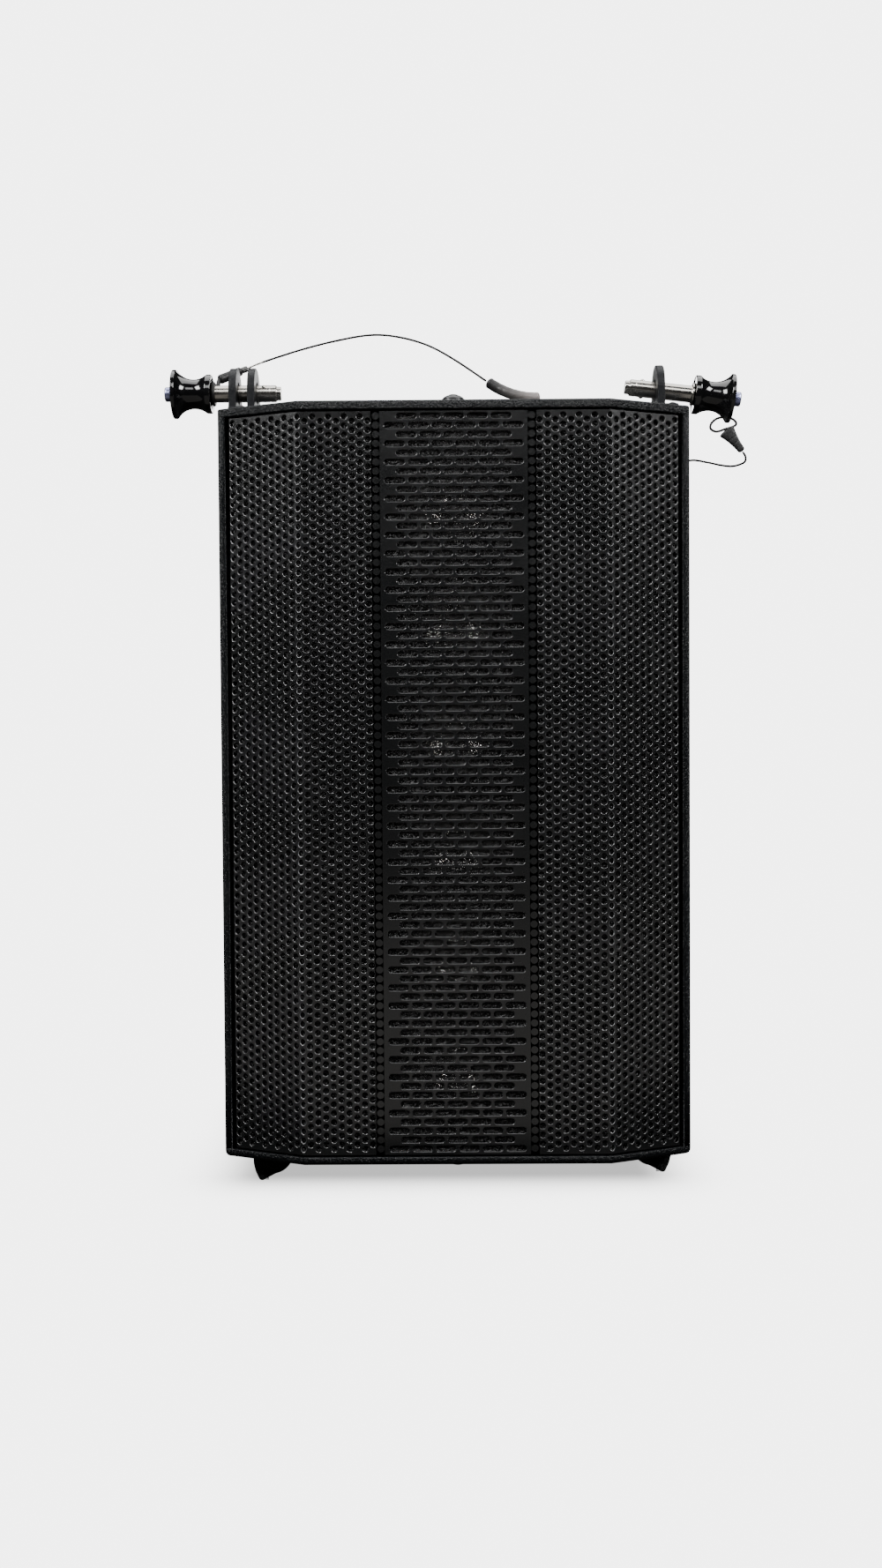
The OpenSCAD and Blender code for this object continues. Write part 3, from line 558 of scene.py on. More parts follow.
def outline(corners, inset, radius, steps=7):
    """Arc of points for each corner of an anticlockwise outline, set in from its edges:
    corner - miter max(inset, r) + (r - inset) n, with n turning from one edge's normal to
    the next one's."""
    run = unit(np.roll(corners, -1, 0) - corners)
    after = np.stack([run[:, 1], -run[:, 0]], 1)
    before = np.roll(after, 1, 0)
    miter = (before + after) / (1 + (before * after).sum(1, keepdims=True))
    swing = np.arccos(np.clip((before * after).sum(1), -1, 1))[:, None] * np.linspace(0, 1, steps)
    a0 = np.arctan2(before[:, 1], before[:, 0])[:, None]
    normal = np.stack([np.cos(a0 + swing), np.sin(a0 + swing)], -1)
    arc = (corners - miter * max(inset, radius))[:, None]
    return arc + normal * max(radius - inset, 0.01 * mm)


def at_height(flat, height):
    """Flat points lifted to a height."""
    return np.column_stack([flat, np.full(len(flat), height)])


def plan_ring(inset, height):
    """Points round the plan, set in and lifted to a height. Two points more than the
    outline's stand a tenth in from each edge's ends."""
    arc = outline(plan_corners, inset, upright_round)
    leave, arrive = arc[:, -1], np.roll(arc[:, 0], -1, 0)
    extra = leave[:, None] + (arrive - leave)[:, None] * np.array([0.1, 0.9])[None, :, None]
    return at_height(np.concatenate([arc, extra], 1).reshape(-1, 2), height)


def lid(inner, outer, radius):
    """Slab whose outer edge is rounded by a quarter circle and whose inner one has a 0.6 mm
    round, but only along the front, where it is the lip over the grille."""
    up = np.sign(outer - inner)
    a = np.linspace(0, np.pi / 2, 7)
    insets = np.concatenate([[0.6, 0.18, 0.0, 0.0], radius / mm * (1 - np.cos(a))[1:]]) * mm
    heights = np.concatenate([
        [inner, inner + up * 0.18 * mm, inner + up * 0.6 * mm, outer - up * radius],
        outer - up * radius * (1 - np.sin(a))[1:],
    ])
    rings = np.stack([plan_ring(i, h) for i, h in zip(insets, heights)])
    front = (rings[0, :, 1] < corner_y - 2 * mm)[None, :, None]
    rings[:3] = np.where(front, rings[:3], plan_ring(0, inner)[None])
    plain = inner + up * np.array([[0.2], [0.4]]) * mm
    rings[1:3, :, 2] = np.where(front[..., 0], rings[1:3, :, 2], plain)
    return capped_grid(rings if up > 0 else rings[::-1])


top_lid = lid(top_z - lip, top_z, lid_round)
bottom_lid = lid(base_z + lip, base_z, foot_round)
add_piece("top_panel", top_lid, paint, "cabinet", ["cabinet_top"])
add_piece("bottom_panel", bottom_lid, paint, "cabinet", ["cabinet_bottom"])

facet = unit(np.array([corner_x - fold_x, corner_y - front_y]))
facet_in = np.array([-facet[1], facet[0]])
side_run = unit(np.array([rear_x - corner_x, rear_y - corner_y]))
side_in = np.array([-side_run[1], side_run[0]])
seam_x = 135 * mm


def crossing(p, d, q, e):
    """Where the line through p along d meets the line through q along e."""
    k = ((q - p)[0] * e[1] - (q - p)[1] * e[0]) / (d[0] * e[1] - d[1] * e[0])
    return p + d * k


def side_wall(sign):
    """Upright wall with one section all the way up: lip, rounded front corner, side, rear
    corner and a short return along the rear, then back inside with the grille's rebate."""
    ring = plan_ring(0, 0)[:, :2]
    corner = np.array([corner_x, corner_y])
    outer = ring[2 * 9 : 2 * 9 + 7], ring[3 * 9 : 3 * 9 + 7]
    lip_end = corner - facet * lip
    step = lip_end + facet_in * rebate
    inner_side = corner + side_in * wall
    wall_start = crossing(step, facet, inner_side, side_run)
    rear_line = np.array([0, rear_y - wall])
    wall_end = crossing(inner_side, side_run, rear_line, np.array([1.0, 0]))
    turns = [facet * (1 - np.sin(a)) + facet_in * (1 - np.cos(a)) for a in (0, 0.5, 1.0, 1.57)]
    lip_round = lip_end + 0.6 * mm * np.stack(turns)
    seam = [[seam_x, rear_y], [seam_x, rear_y - wall]]
    section = np.vstack([lip_round, *outer, seam, wall_end, wall_start, step])
    levels = np.linspace(base_z + lip, top_z - lip, 12)
    points = np.stack([at_height(section, z) for z in levels])
    points[..., 0] *= sign
    return capped_grid(points if sign > 0 else points[:, ::-1])


for side, sign in (("left", -1), ("right", 1)):
    solid = side_wall(sign)
    add_piece(f"side_panel_{side}", solid, paint, "cabinet", [f"cabinet_side_{side}"])


def between_loops(outer, inner):
    """Triangles between a loop of points and a smaller one inside it, both anticlockwise
    about the middle: the loop whose next point has the smaller angle steps on. Inner
    points are numbered after the outer ones."""
    spin, turn = (np.mod(np.arctan2(p[:, 1], p[:, 0]), 2 * np.pi) for p in (outer, inner))
    o, n = np.argsort(spin), np.argsort(turn)
    oa = np.append(spin[o], 2 * np.pi + spin[o[0]])
    na = np.append(turn[n], 2 * np.pi + turn[n[0]])
    o, n = np.append(o, o[0]), np.append(n, n[0]) + len(outer)
    i = j = 0
    made = []
    while i < len(outer) or j < len(inner):
        if j == len(inner) or (i < len(outer) and oa[i + 1] <= na[j + 1]):
            made.append([o[i], o[i + 1], n[j]])
            i += 1
        else:
            made.append([o[i], n[j + 1], n[j]])
            j += 1
    return np.array(made)


def merged(points, faces):
    """The points with those in one place made one, and the faces numbered to match."""
    rough = np.round(points / (0.02 * mm))
    _, first, where = np.unique(rough, axis=0, return_index=True, return_inverse=True)
    return points[first], [where.reshape(-1)[f] for f in faces]


def open_edges(faces, skip):
    """Edges that one face alone has, in its direction, less those between skipped points."""
    pairs = np.concatenate([np.stack([f, np.roll(f, -1, 1)], -1).reshape(-1, 2) for f in faces])
    key = np.sort(pairs, 1)
    _, where, count = np.unique(key, axis=0, return_inverse=True, return_counts=True)
    alone = pairs[count[where.reshape(-1)] == 1]
    return alone[~(skip[alone[:, 0]] & skip[alone[:, 1]])]


def circle_of(count):
    """Points at equal steps round a circle of radius 1."""
    return np.stack([np.cos(around(count)), np.sin(around(count))], 1)


def rear_wall():
    """Flat panel between the side walls with two square openings and four round ones. The
    panel is a grid of cells: those in an opening are left out, and a round one's cell is
    filled between its edge and the hole."""
    gap, cell = 0.25 * mm, 9 * mm
    squares = []
    for name in ("rear_handle", "connector_plate"):
        low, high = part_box(name)
        squares.append((low.x - gap, high.x + gap, low.z - gap, high.z + gap))
    low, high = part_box("mounting_inserts")
    bolt_x = high.x - 6 * mm
    bolts = [(x, z) for x in (-bolt_x, bolt_x) for z in (low.z + 6 * mm, high.z - 6 * mm)]
    squares += [(x - cell, x + cell, z - cell, z + cell) for x, z in bolts]
    xs = np.unique(np.round([-seam_x, seam_x] + [x for square in squares for x in square[:2]], 6))
    zs = np.unique(np.round([base_z + lip, top_z - lip] + [z for square in squares for z in square[2:]], 6))
    points = np.stack(np.meshgrid(xs, zs), -1).reshape(-1, 2)
    quads = grid(len(zs), len(xs))
    x, z = points[quads].mean(1).T
    gone = np.zeros(len(quads), bool)
    for x0, x1, z0, z1 in squares:
        gone |= (x > x0) & (x < x1) & (z > z0) & (z < z1)
    flat, faces = [points], []
    hole = circle_of(24) * 6.15 * mm
    for bolt in bolts:
        rim = points[(np.abs(points - bolt) < cell + 1e-6).all(1)]
        faces.append(between_loops(rim - bolt, hole) + sum(len(p) for p in flat))
        flat += [rim, hole + bolt]
    flat, faces = merged(np.concatenate(flat), [quads[~gone], *faces])
    count = len(flat)
    a, b = open_edges(faces, np.zeros(count, bool)).T
    near = np.column_stack([flat[:, 0], np.full(count, rear_y), flat[:, 1]])
    far = near - [0, wall, 0]
    layers = [f[:, ::-1] for f in faces] + [f + count for f in faces]
    walls = np.stack([a, b, b + count, a + count], 1)
    return np.concatenate([near, far]), [(f, False) for f in (*layers, walls)]


add_piece("rear_panel", rear_wall(), paint, "cabinet", ["cabinet_rear"])

# ---------------------------------------------------------------- grille
# The grille is 1.5 mm steel, punched, folded to the cabinet's front and powder coated. Both
# wings have 4.7 mm round holes at a 6.5 mm pitch, with rounded rims. The middle has rows of
# 15 mm slots, five and six in turn. Its edges fold back into the recess.

grille_low, grille_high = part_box("grille")
sheet = 1.5 * mm
face_inset = 1.2 * mm
hole_r = 2.35 * mm
rim_r = 2.68 * mm
rim_deep = 0.16 * mm
pitch = 6.5 * mm
half = pitch / 2
row_top = grille_high.z - 3.5 * mm
row_count = 82
middle_step = 5.629 * mm
wing_step = 5.43 * mm
slot_pitch = 16.89 * mm
slot_half = 5.15 * mm
bend_r = 2.2 * mm
facet_long = np.hypot(corner_x - fold_x, corner_y - front_y) - lip - 1.5 * mm
bend_start = facet_long - bend_r

half_fold = np.tan(np.arctan2(facet[1], facet[0]) / 2)

grille_paint = finish_of("grille powder coat", (0.0018, 0.0024, 0.0028), 0.012, 0.006, 0.24, scale=1600,
                         height=0.06, worn=0.8, dust_share=0.2, Specular_IOR_Level=1.0,
                         Coat_Weight=1.0, Coat_Roughness=0.2, Coat_IOR=1.8)


def on_wing(flat, deep):
    """Place of points of the flat sheet, (distance out from the fold, height), at a depth
    behind its face: the middle's plane, the facet's, then a bend of 90 degrees and the edge
    that runs back. At the fold both planes meet on the line that halves their angle."""
    s, z = flat[:, :1], flat[:, 1:]
    back = face_inset + deep
    lean = half_fold * back
    fold = np.array([fold_x, front_y])
    middle = fold + np.minimum(s, -lean) * [1, 0] + [0, back]
    wing = fold + np.maximum(s, lean) * facet + facet_in * back
    centre = fold + facet * bend_start + facet_in * (face_inset + bend_r)
    a = np.clip((s - bend_start) / bend_r, 0, np.pi / 2)
    past = np.maximum(s - bend_start - bend_r * np.pi / 2, 0)
    bend = centre + (bend_r - deep) * (facet * np.sin(a) - facet_in * np.cos(a)) + facet_in * past
    plan = np.where(s < 0, middle, np.where(s < bend_start, wing, bend))
    plan = np.where(np.abs(s) < 1e-7, middle, plan)
    return np.hstack([plan, z])


def on_middle(flat, deep):
    """Place of points of the sheet between the wings, which is flat."""
    return np.column_stack([flat[:, 0], np.full(len(flat), front_y + face_inset + deep), flat[:, 1]])


def punched(cells, blanks, place, thick=sheet, rim_in=rim_deep):
    """Closed sheet from flat cells, each (outer points, rim points, hole points, triangles),
    and plain faces. The face and the back share one layout, each hole has a rounded rim
    and a wall, and walls close the outer edge. The points inside the rims are last, and
    the first one's number is given too."""
    flat = [np.concatenate([outer.reshape(-1, 2), rim.reshape(-1, 2)]) for outer, rim, _, _ in cells]
    tops, rims, start = [], [], 0
    for (outer, rim, _, triangles), points in zip(cells, flat):
        cell, o, n = len(outer), outer.shape[1], rim.shape[1]
        number = np.arange(cell)[:, None, None]
        outside, inside = number * o + triangles[None], cell * o + number * n + triangles[None] - o
        tops.append((start + np.where(triangles[None] < o, outside, inside)).reshape(-1, 3))
        rims.append(start + cell * o + np.arange(cell * n).reshape(cell, n))
        start += len(points)
    quads = np.arange(blanks.shape[0] * 4).reshape(-1, 4) + start
    everything = np.concatenate([*flat, blanks.reshape(-1, 2)])
    everything, numbered = merged(everything, [*tops, quads, *rims])
    tops, quads, rims = numbered[: len(cells)], numbered[len(cells)], numbered[len(cells) + 1 :]
    count = len(everything)
    on_rim = np.isin(np.arange(count), np.concatenate([r.ravel() for r in rims]))
    edges = open_edges([*tops, quads], on_rim)
    walls = np.stack([edges[:, 1], edges[:, 0], edges[:, 0] + count, edges[:, 1] + count], 1)
    faces = [(f, False) for f in (*tops, quads)] + [(f[:, ::-1] + count, False) for f in (*tops, quads)]
    faces.append((walls, False))
    layers, start = [place(everything, 0 * mm), place(everything, thick)], 2 * count
    for (_, _, hole, _), r in zip(cells, rims):
        layers.append(place(hole.reshape(-1, 2), rim_in))
        bottom = start + np.arange(hole.shape[0] * hole.shape[1]).reshape(hole.shape[:2])
        start += hole.shape[0] * hole.shape[1]
        for upper, lower in ((r, bottom), (bottom, r + count)):
            u2, l2 = np.roll(upper, -1, 1), np.roll(lower, -1, 1)
            faces.append((np.stack([upper, u2, l2, lower], -1).reshape(-1, 4), True))
    return np.concatenate(layers), faces, 2 * count


def cells_of(left, centre, right, low, row, high, rim, hole):
    """Cells from their sides and middles, as (outer points, rim points, hole points,
    triangles). The outer points are eight, anticlockwise from the middle of the right edge."""
    x = np.stack([right, right, centre, left, left, left, centre, right], -1)
    z = np.stack([row, high, high, high, row, low, low, low], -1)
    outer = np.stack([x, z], -1).reshape(-1, 8, 2)
    middle = np.stack([centre, row], -1).reshape(-1, 1, 2)
    one = row.shape[1] // 2
    return outer, middle + rim, middle + hole, between_loops(outer[one] - middle[one], rim)


def plain(x0, x1, z0, z1):
    """Plain faces between their sides."""
    x0, x1, z0, z1 = np.broadcast_arrays(x0, x1, z0, z1)
    return np.stack([x0, z0, x1, z0, x1, z1, x0, z1], -1).reshape(-1, 4, 2)


sheet_low, sheet_high = grille_low.z, grille_high.z


def wing():
    """Columns of round holes from ten steps inside the fold to one on the bend. Every other
    column is half a pitch lower and has one hole less, with plain sheet at both its ends."""
    numbers = np.arange(-10, 12)
    column = np.where(numbers <= 0, numbers * middle_step, numbers * wing_step)
    between = (column[1:] + column[:-1]) / 2
    bounds = np.concatenate([[column[0] - middle_step / 2], between, [column[-1] + wing_step / 2]])
    cells, blanks = [], []
    for k in (0, 1):
        pick = np.abs(numbers) % 2 == k
        rows = row_top - k * half - pitch * np.arange(row_count - k)
        centre, row = np.meshgrid(column[pick], rows, indexing="ij")
        left = np.repeat(bounds[:-1][pick][:, None], len(rows), 1)
        right = np.repeat(bounds[1:][pick][:, None], len(rows), 1)
        low, high = row - half, row + half
        if k == 0:
            high[:, 0], low[:, -1] = sheet_high, sheet_low
        rim, hole = circle_of(12) * rim_r, circle_of(12) * hole_r
        cells.append(cells_of(left, centre, right, low, row, high, rim, hole))
    for lo, hi in ((sheet_low, rows[-1] - half), (rows[0] + half, sheet_high)):
        for a, b in ((left, centre), (centre, right)):
            blanks.append(plain(a[:, 0], b[:, 0], lo, hi))
    heights = row_top - half * np.arange(2 * row_count - 2, -1, -1)
    breaks = np.concatenate([[sheet_low], heights, [sheet_high]])
    edge = facet_long - bend_r + bend_r * np.pi / 2 + 6 * mm
    blanks.append(plain(bounds[-1], edge, breaks[:-1], breaks[1:]))
    return punched(cells, np.concatenate(blanks), on_wing)


def slot_loop(radius):
    """Outline of a slot, two half circles apart, anticlockwise."""
    a = np.linspace(-np.pi / 2, np.pi / 2, 8)
    right = np.stack([slot_half + radius * np.cos(a), radius * np.sin(a)], 1)
    return np.vstack([right, -right])


def middle_sheet():
    """Rows of five and six slots in turn, half a slot's pitch apart, with plain sheet out to
    the wings. The plain faces have a corner wherever a neighbouring row has one."""
    cells, blanks = [], []
    for k in (0, 1):
        rows = row_top - pitch * np.arange(k, row_count, 2)
        across = slot_pitch * (np.arange(5 + k) - (4 + k) / 2)
        centre, row = np.meshgrid(across, rows, indexing="ij")
        low, high = row - half, row + half
        if k == 0:
            high[:, 0] = sheet_high
        else:
            low[:, -1] = sheet_low
        left, right = centre - slot_pitch / 2, centre + slot_pitch / 2
        cells.append(cells_of(left, centre, right, low, row, high, slot_loop(rim_r), slot_loop(hole_r)))
        lines = [across[-1] + slot_pitch / 2, 10 * middle_step + middle_step / 2]
        if k == 0:
            lines.insert(1, across[-1] + slot_pitch)
        for sign in (-1, 1):
            for a, b in zip(lines[:-1], lines[1:]):
                a, b = sorted((sign * a, sign * b))
                blanks += [plain(a, b, low[0], row[0]), plain(a, b, row[0], high[0])]
    return punched(cells, np.concatenate(blanks), on_middle)


def paint_rim_highlights(piece, points, first):
    """Keeps on each rim point how much the rim is lightened: a painted highlight, partly worn paint, 1 where
    the sheet is folded and 0.3 elsewhere.
    """
    folded = np.abs(np.abs(points[:, 0].astype(np.float32)) - fold_x) < middle_step / 2
    bare = np.where(np.arange(len(points)) < first, 0, np.where(folded, 1, 0.3))
    keep(piece.data, "rim_highlight_and_wear", bare)


# The rims' colour is mixed towards light grey by that number: a painted highlight that brightens the lit arcs
# round the holes, strongest on the fold column, and partly worn paint.
tree = grille_paint.node_tree
painted = tree.nodes["Principled BSDF"].inputs["Base Color"]
rims = node(tree, "Attribute", {}, attribute_name="rim_highlight_and_wear")["Fac"]
tree.links.new(mixed(tree, rims, painted.links[0].from_socket, (0.17, 0.175, 0.18)), painted)
right_wing, right_faces, wing_rims = wing()
left_faces = [(f[:, ::-1], smooth) for f, smooth in right_faces]
for name, points, faces, first in (
    ("grille_wing_right", right_wing, right_faces, wing_rims),
    ("grille_wing_left", right_wing * [-1, 1, 1], left_faces, wing_rims),
    ("grille_slots", *middle_sheet()),
):
    piece = add_piece(name, (points, faces), grille_paint, "cabinet", ["grille"])
    paint_rim_highlights(piece, points, first)


def across_front(back):
    """Left end, both folds and right end of the line at a distance behind the front."""
    fold = np.array([fold_x - half_fold * back, front_y + back])
    end = np.array([fold_x, front_y]) + facet * (facet_long - 0.4 * mm) + facet_in * back
    return np.array([end * [-1, 1], fold * [-1, 1], fold, end])


def folded_strip(back, deep, low, high):
    """Strip that follows the folded front: a rectangle of depth and height along the line."""
    section = [(back, low), (back + deep, low), (back + deep, high), (back, high)]
    return capped_grid(np.stack([at_height(across_front(b), z) for b, z in section], 1))


points, faces = joined(
    folded_strip(face_inset + sheet, 6.4 * mm, sheet_high - sheet, sheet_high),
    folded_strip(face_inset + sheet, 6.4 * mm, sheet_low, sheet_low + sheet),
)
faces = [(f, False) for f, _ in faces]
add_piece("grille_edges", (points, faces), grille_paint, "cabinet", ["grille"])

# ---------------------------------------------------------------- acoustic foam
# A 3 mm sheet of black open-cell foam is glued behind the grille and keeps dust and rain
# out. Its cut face is a rough net of glossy struts, with pores that sound goes through.

foam_low, foam_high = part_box("grille_foam")
foam_back = face_inset + sheet + 0.15 * mm
foam_thick = 2.9 * mm
foam_edge = 10.5 * mm

foam_finish, tree, shader = new_finish("reticulated foam")
place = node(tree, "TexCoord", {})["Object"]
net = node(tree, "TexVoronoi", {"Vector": place, "Scale": 620.0}, feature="DISTANCE_TO_EDGE")["Distance"]
strut = node(tree, "MapRange", {"Value": net, "From Min": 0.11, "From Max": 0.15,
                                "To Min": 1.0, "To Max": 0.0})
glint = noise(tree, 1400.0, Detail=2.0)
fill(shader, {
    "Base Color": ramp(tree, glint, (0.001, 0.001, 0.0011), (0.014, 0.014, 0.0135)),
    "Alpha": strut["Result"],
    "Normal": node(tree, "Bump", {"Height": glint, "Strength": 1.0, "Distance": 0.0008})["Normal"],
    "Roughness": 0.25,
    "Specular IOR Level": 0.7,
})


def on_front(s, z, back):
    """Place of points at a distance s from the middle along the folded front."""
    side, past = np.sign(s), np.abs(s) - fold_x
    lean = half_fold * back
    middle_x, middle_y = fold_x + np.minimum(past, -lean), front_y + back
    wing_x = fold_x + np.maximum(past, lean) * facet[0] + facet_in[0] * back
    wing_y = front_y + np.maximum(past, lean) * facet[1] + facet_in[1] * back
    inside = past <= 1e-7
    x, y = side * np.where(inside, middle_x, wing_x), np.where(inside, middle_y, wing_y)
    return np.stack([x, y, z + 0 * s], -1)


def foam_sheet():
    """Grid of points 1.7 mm apart on the folded front. Inside its edge each is moved at
    random by up to 0.5 mm along the sheet and 1.2 mm into it. The back is three flat faces."""
    outer = fold_x + facet_long - foam_edge + 7.0 * mm
    wing_s = np.linspace(fold_x, outer, 35)
    s_line = np.concatenate([-wing_s[:0:-1], np.linspace(-fold_x, fold_x, 133), wing_s[1:]])
    z_line = np.linspace(foam_low.z, foam_high.z, 312)
    s, z = np.meshgrid(s_line, z_line)
    rng = np.random.default_rng(7)
    inner = np.zeros(s.shape)
    inner[1:-1, 1:-1] = 1
    fold_column = np.isclose(np.abs(s), fold_x)
    front = on_front(s + inner * ~fold_column * rng.uniform(-0.5, 0.5, s.shape) * mm,
                     z + inner * rng.uniform(-0.5, 0.5, s.shape) * mm,
                     foam_back + inner * rng.uniform(0, 1.2, s.shape) * mm)
    rows, columns = s.shape
    index = np.arange(rows * columns).reshape(rows, columns)
    rim = np.concatenate([index[0], index[1:, -1], index[-1, -2::-1], index[-2:0:-1, 0]])
    back = on_front(s.ravel()[rim], z.ravel()[rim], foam_back + foam_thick)
    back_number = np.full(rows * columns, -1)
    back_number[rim] = rows * columns + np.arange(len(rim))
    nxt = np.roll(rim, -1)
    walls = np.stack([nxt, rim, back_number[rim], back_number[nxt]], 1)
    folds = np.flatnonzero(np.isclose(np.abs(s_line), fold_x))
    parts = []
    for a, b in ((0, folds[0]), (folds[0], folds[1]), (folds[1], columns - 1)):
        left = index[-2:0:-1, 0] if a == 0 else index[:0, 0]
        right = index[1:-1, -1] if b == columns - 1 else index[:0, 0]
        loop = np.concatenate([index[0, a : b + 1], right, index[-1, a : b + 1][::-1], left])
        parts.append((back_number[loop][None, ::-1], False))
    points = np.concatenate([front.reshape(-1, 3), back])
    return points, [(grid(rows, columns), False), (walls, False), *parts]


add_piece("acoustic_foam", foam_sheet(), foam_finish, "cabinet", ["grille_foam"])

# ---------------------------------------------------------------- drivers
# Six three-inch drivers stand in a column up the middle, with bright metal cones, and four
# woofers with black paper cones stand on each side. Each has a cast basket, a rubber
# half-roll surround, a domed cap, a voice coil and a ring magnet, held by four screws.

mid_low, mid_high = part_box("mid_baskets")
mid_r, mid_pitch = mid_high.x, 81 * mm
mid_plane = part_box("centre_baffle")[0].y
mid_places = [np.array([0, mid_plane, mid_low.z + mid_r + i * mid_pitch]) for i in range(6)]
woofer_r, woofer_pitch, woofer_turn = 54 * mm, 130 * mm, np.radians(18)
woofer_low, woofer_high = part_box("woofer_cones_right")
woofer_z = [(woofer_low.z + woofer_high.z) / 2 + (i - 1.5) * woofer_pitch for i in range(4)]
woofer_x, woofer_y = 104.2 * mm, -85.4 * mm

bright_cone = finish_of("spun aluminium cone", (0.62, 0.62, 0.6), (0.9, 0.9, 0.88), 0.3, 0.16, scale=260,
                        height=0.25, dust_share=0.12, Metallic=1.0)
paper = finish_of("coated paper cone", (0.012, 0.012, 0.013), 0.04, 0.05, 0.5, scale=420, height=0.6)
roll = finish_of("rubber surround", 0.01, 0.03, 0.04, 0.38, height=0.2)


def cone_profile(r):
    """Front of a cone falling from the surround to the neck, with shallow ribs, and its back
    1.3 mm behind: height = line through the CAD's corners + 0.12 mm cos(60 radius / r)."""
    reach = np.linspace(0.735, 0.2, 48)
    heights = [-0.29 * r, -0.29 * r, -0.22 * r, -0.1 * r, 1.5 * mm]
    drop = np.interp(reach, [0.2, 0.26, 0.4, 0.6, 0.735], heights)
    face = np.stack([reach * r, drop + 0.12 * mm * np.cos(reach * 60)], 1)
    ring = np.vstack([face[::-1] - [0, 1.3 * mm], face])
    return np.vstack([ring, ring[:1]])


def cap_profile(r):
    """Dome over the coil: height = sqrt(R^2 - radius^2) - 0.62 r, with R = 0.45 r."""
    reach = np.linspace(0.27, 0.01, 20) * r
    dome = np.stack([reach, np.sqrt((0.45 * r) ** 2 - reach**2) - 0.62 * r], 1)
    return np.vstack([[0.265 * r, -0.275 * r], dome])


def roll_profile(r, flange):
    """Half circle of rubber between the cone and the flange."""
    a = np.linspace(0, np.pi, 16)
    arc = np.stack([0.8 * r + 0.053 * r * np.cos(a), 0.4 * flange + 0.053 * r * np.sin(a)], 1)
    ring = np.vstack([[0.747 * r, 0.3 * flange], [0.853 * r, 0.3 * flange], arc])
    return np.vstack([ring, ring[:1]])


def at_places(profile, places, axis):
    """The same solid of revolution at each of several places."""
    return joined(*[turned(profile, p, axis, (0, 0, 1), 64) for p in places])


mid_cones = at_places(cone_profile(mid_r), mid_places, (0, -1, 0))
mid_domes = at_places(cap_profile(mid_r), mid_places, (0, -1, 0))
mid_rolls = at_places(roll_profile(mid_r, 3 * mm), mid_places, (0, -1, 0))
add_piece("mid_cones_bright", mid_cones, bright_cone, "mid_cones", ["mid_cones"])
add_piece("mid_domes", mid_domes, bright_cone, "mid_cones", ["mid_dust_caps"])
add_piece("mid_rolls", mid_rolls, roll, "cabinet", ["mid_surrounds"])
woofer_rolls = []
for side, sign in (("left", -1), ("right", 1)):
    places = [np.array([sign * woofer_x, woofer_y, z]) for z in woofer_z]
    outward = (sign * np.sin(woofer_turn), -np.cos(woofer_turn), 0)
    cones, domes = (at_places(shape(woofer_r), places, outward) for shape in (cone_profile, cap_profile))
    body = f"woofer_cones_{side}"
    add_piece(f"{body}_paper", cones, paper, body, [body])
    add_piece(f"woofer_domes_{side}", domes, paper, body, [f"woofer_caps_{side}"])
    woofer_rolls.append(at_places(roll_profile(woofer_r, 4 * mm), places, outward))
add_piece("woofer_rolls", joined(*woofer_rolls), roll, "cabinet", ["woofer_surrounds"])

cast = finish_of("cast basket", (0.02, 0.02, 0.022), 0.12, 0.05, 0.45, scale=500, height=0.4, Metallic=0.6)
ferrite = finish_of("ferrite magnet", (0.06, 0.06, 0.065), 0.15, 0.1, 0.6, scale=350, height=0.5)
copper = finish_of("enamelled copper", (0.55, 0.2, 0.07), (0.8, 0.4, 0.2), (0.3, 0.2, 0.1), 0.3,
                   scale=1500, height=0.6, Metallic=1.0)


def dress(material, *names):
    """Gives the material to CAD nodes whose shape is right as it is."""
    for name in names:
        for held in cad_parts[name].material_slots:
            held.material = material


dress(cast, "mid_baskets", "woofer_baskets")
dress(ferrite, "mid_magnets", "woofer_magnets")
dress(copper, "mid_coils", "woofer_coils_left", "woofer_coils_right", "crossover_components")

# ---------------------------------------------------------------- inside of the cabinet
# Black stained plywood baffles carry the drivers, and two plain plywood shelves brace the
# sides. Grey fleece and a small crossover board with three coils are fixed at the rear.

stained = finish_of("black stained plywood", (0.012, 0.011, 0.01), (0.03, 0.028, 0.025), 0.04, 0.6,
                    scale=300, height=0.5)
plywood = finish_of("birch plywood", (0.42, 0.29, 0.16), (0.55, 0.42, 0.26), (0.4, 0.36, 0.3), 0.6,
                    scale=160, height=0.5)
fleece = finish_of("grey fleece", (0.16, 0.16, 0.17), (0.3, 0.3, 0.31), 0.25, 0.9, scale=700, height=1.0)
board = finish_of("circuit board", (0.02, 0.1, 0.05), (0.05, 0.2, 0.1), (0.1, 0.12, 0.1), 0.35, height=0.2)
dress(stained, "centre_baffle", "woofer_baffle_left", "woofer_baffle_right")
dress(plywood, "brace_shelves")
dress(fleece, "damping_foam")
dress(board, "crossover_board")

# ---------------------------------------------------------------- rigging brackets
# Laser-cut steel ears, 5.6 mm thick and rounded over, are welded to a base plate that is
# screwed to the cabinet's top. The left bracket has two ears and the right one has one.

plate_paint = finish_of("black coated steel", (0.006, 0.007, 0.009), (0.03, 0.03, 0.032), 0.02, 0.36,
                        scale=800, worn=0.2, Specular_IOR_Level=0.25)
ear_r, ear_half, ear_round, hole = 18.5 * mm, 2.8 * mm, 0.7 * mm, 8 * mm


def firm(piece):
    """Shades large flat faces flat and only the rounds between them smooth."""
    piece.modifiers.new("firm shading", "WEIGHTED_NORMAL").weight = 80


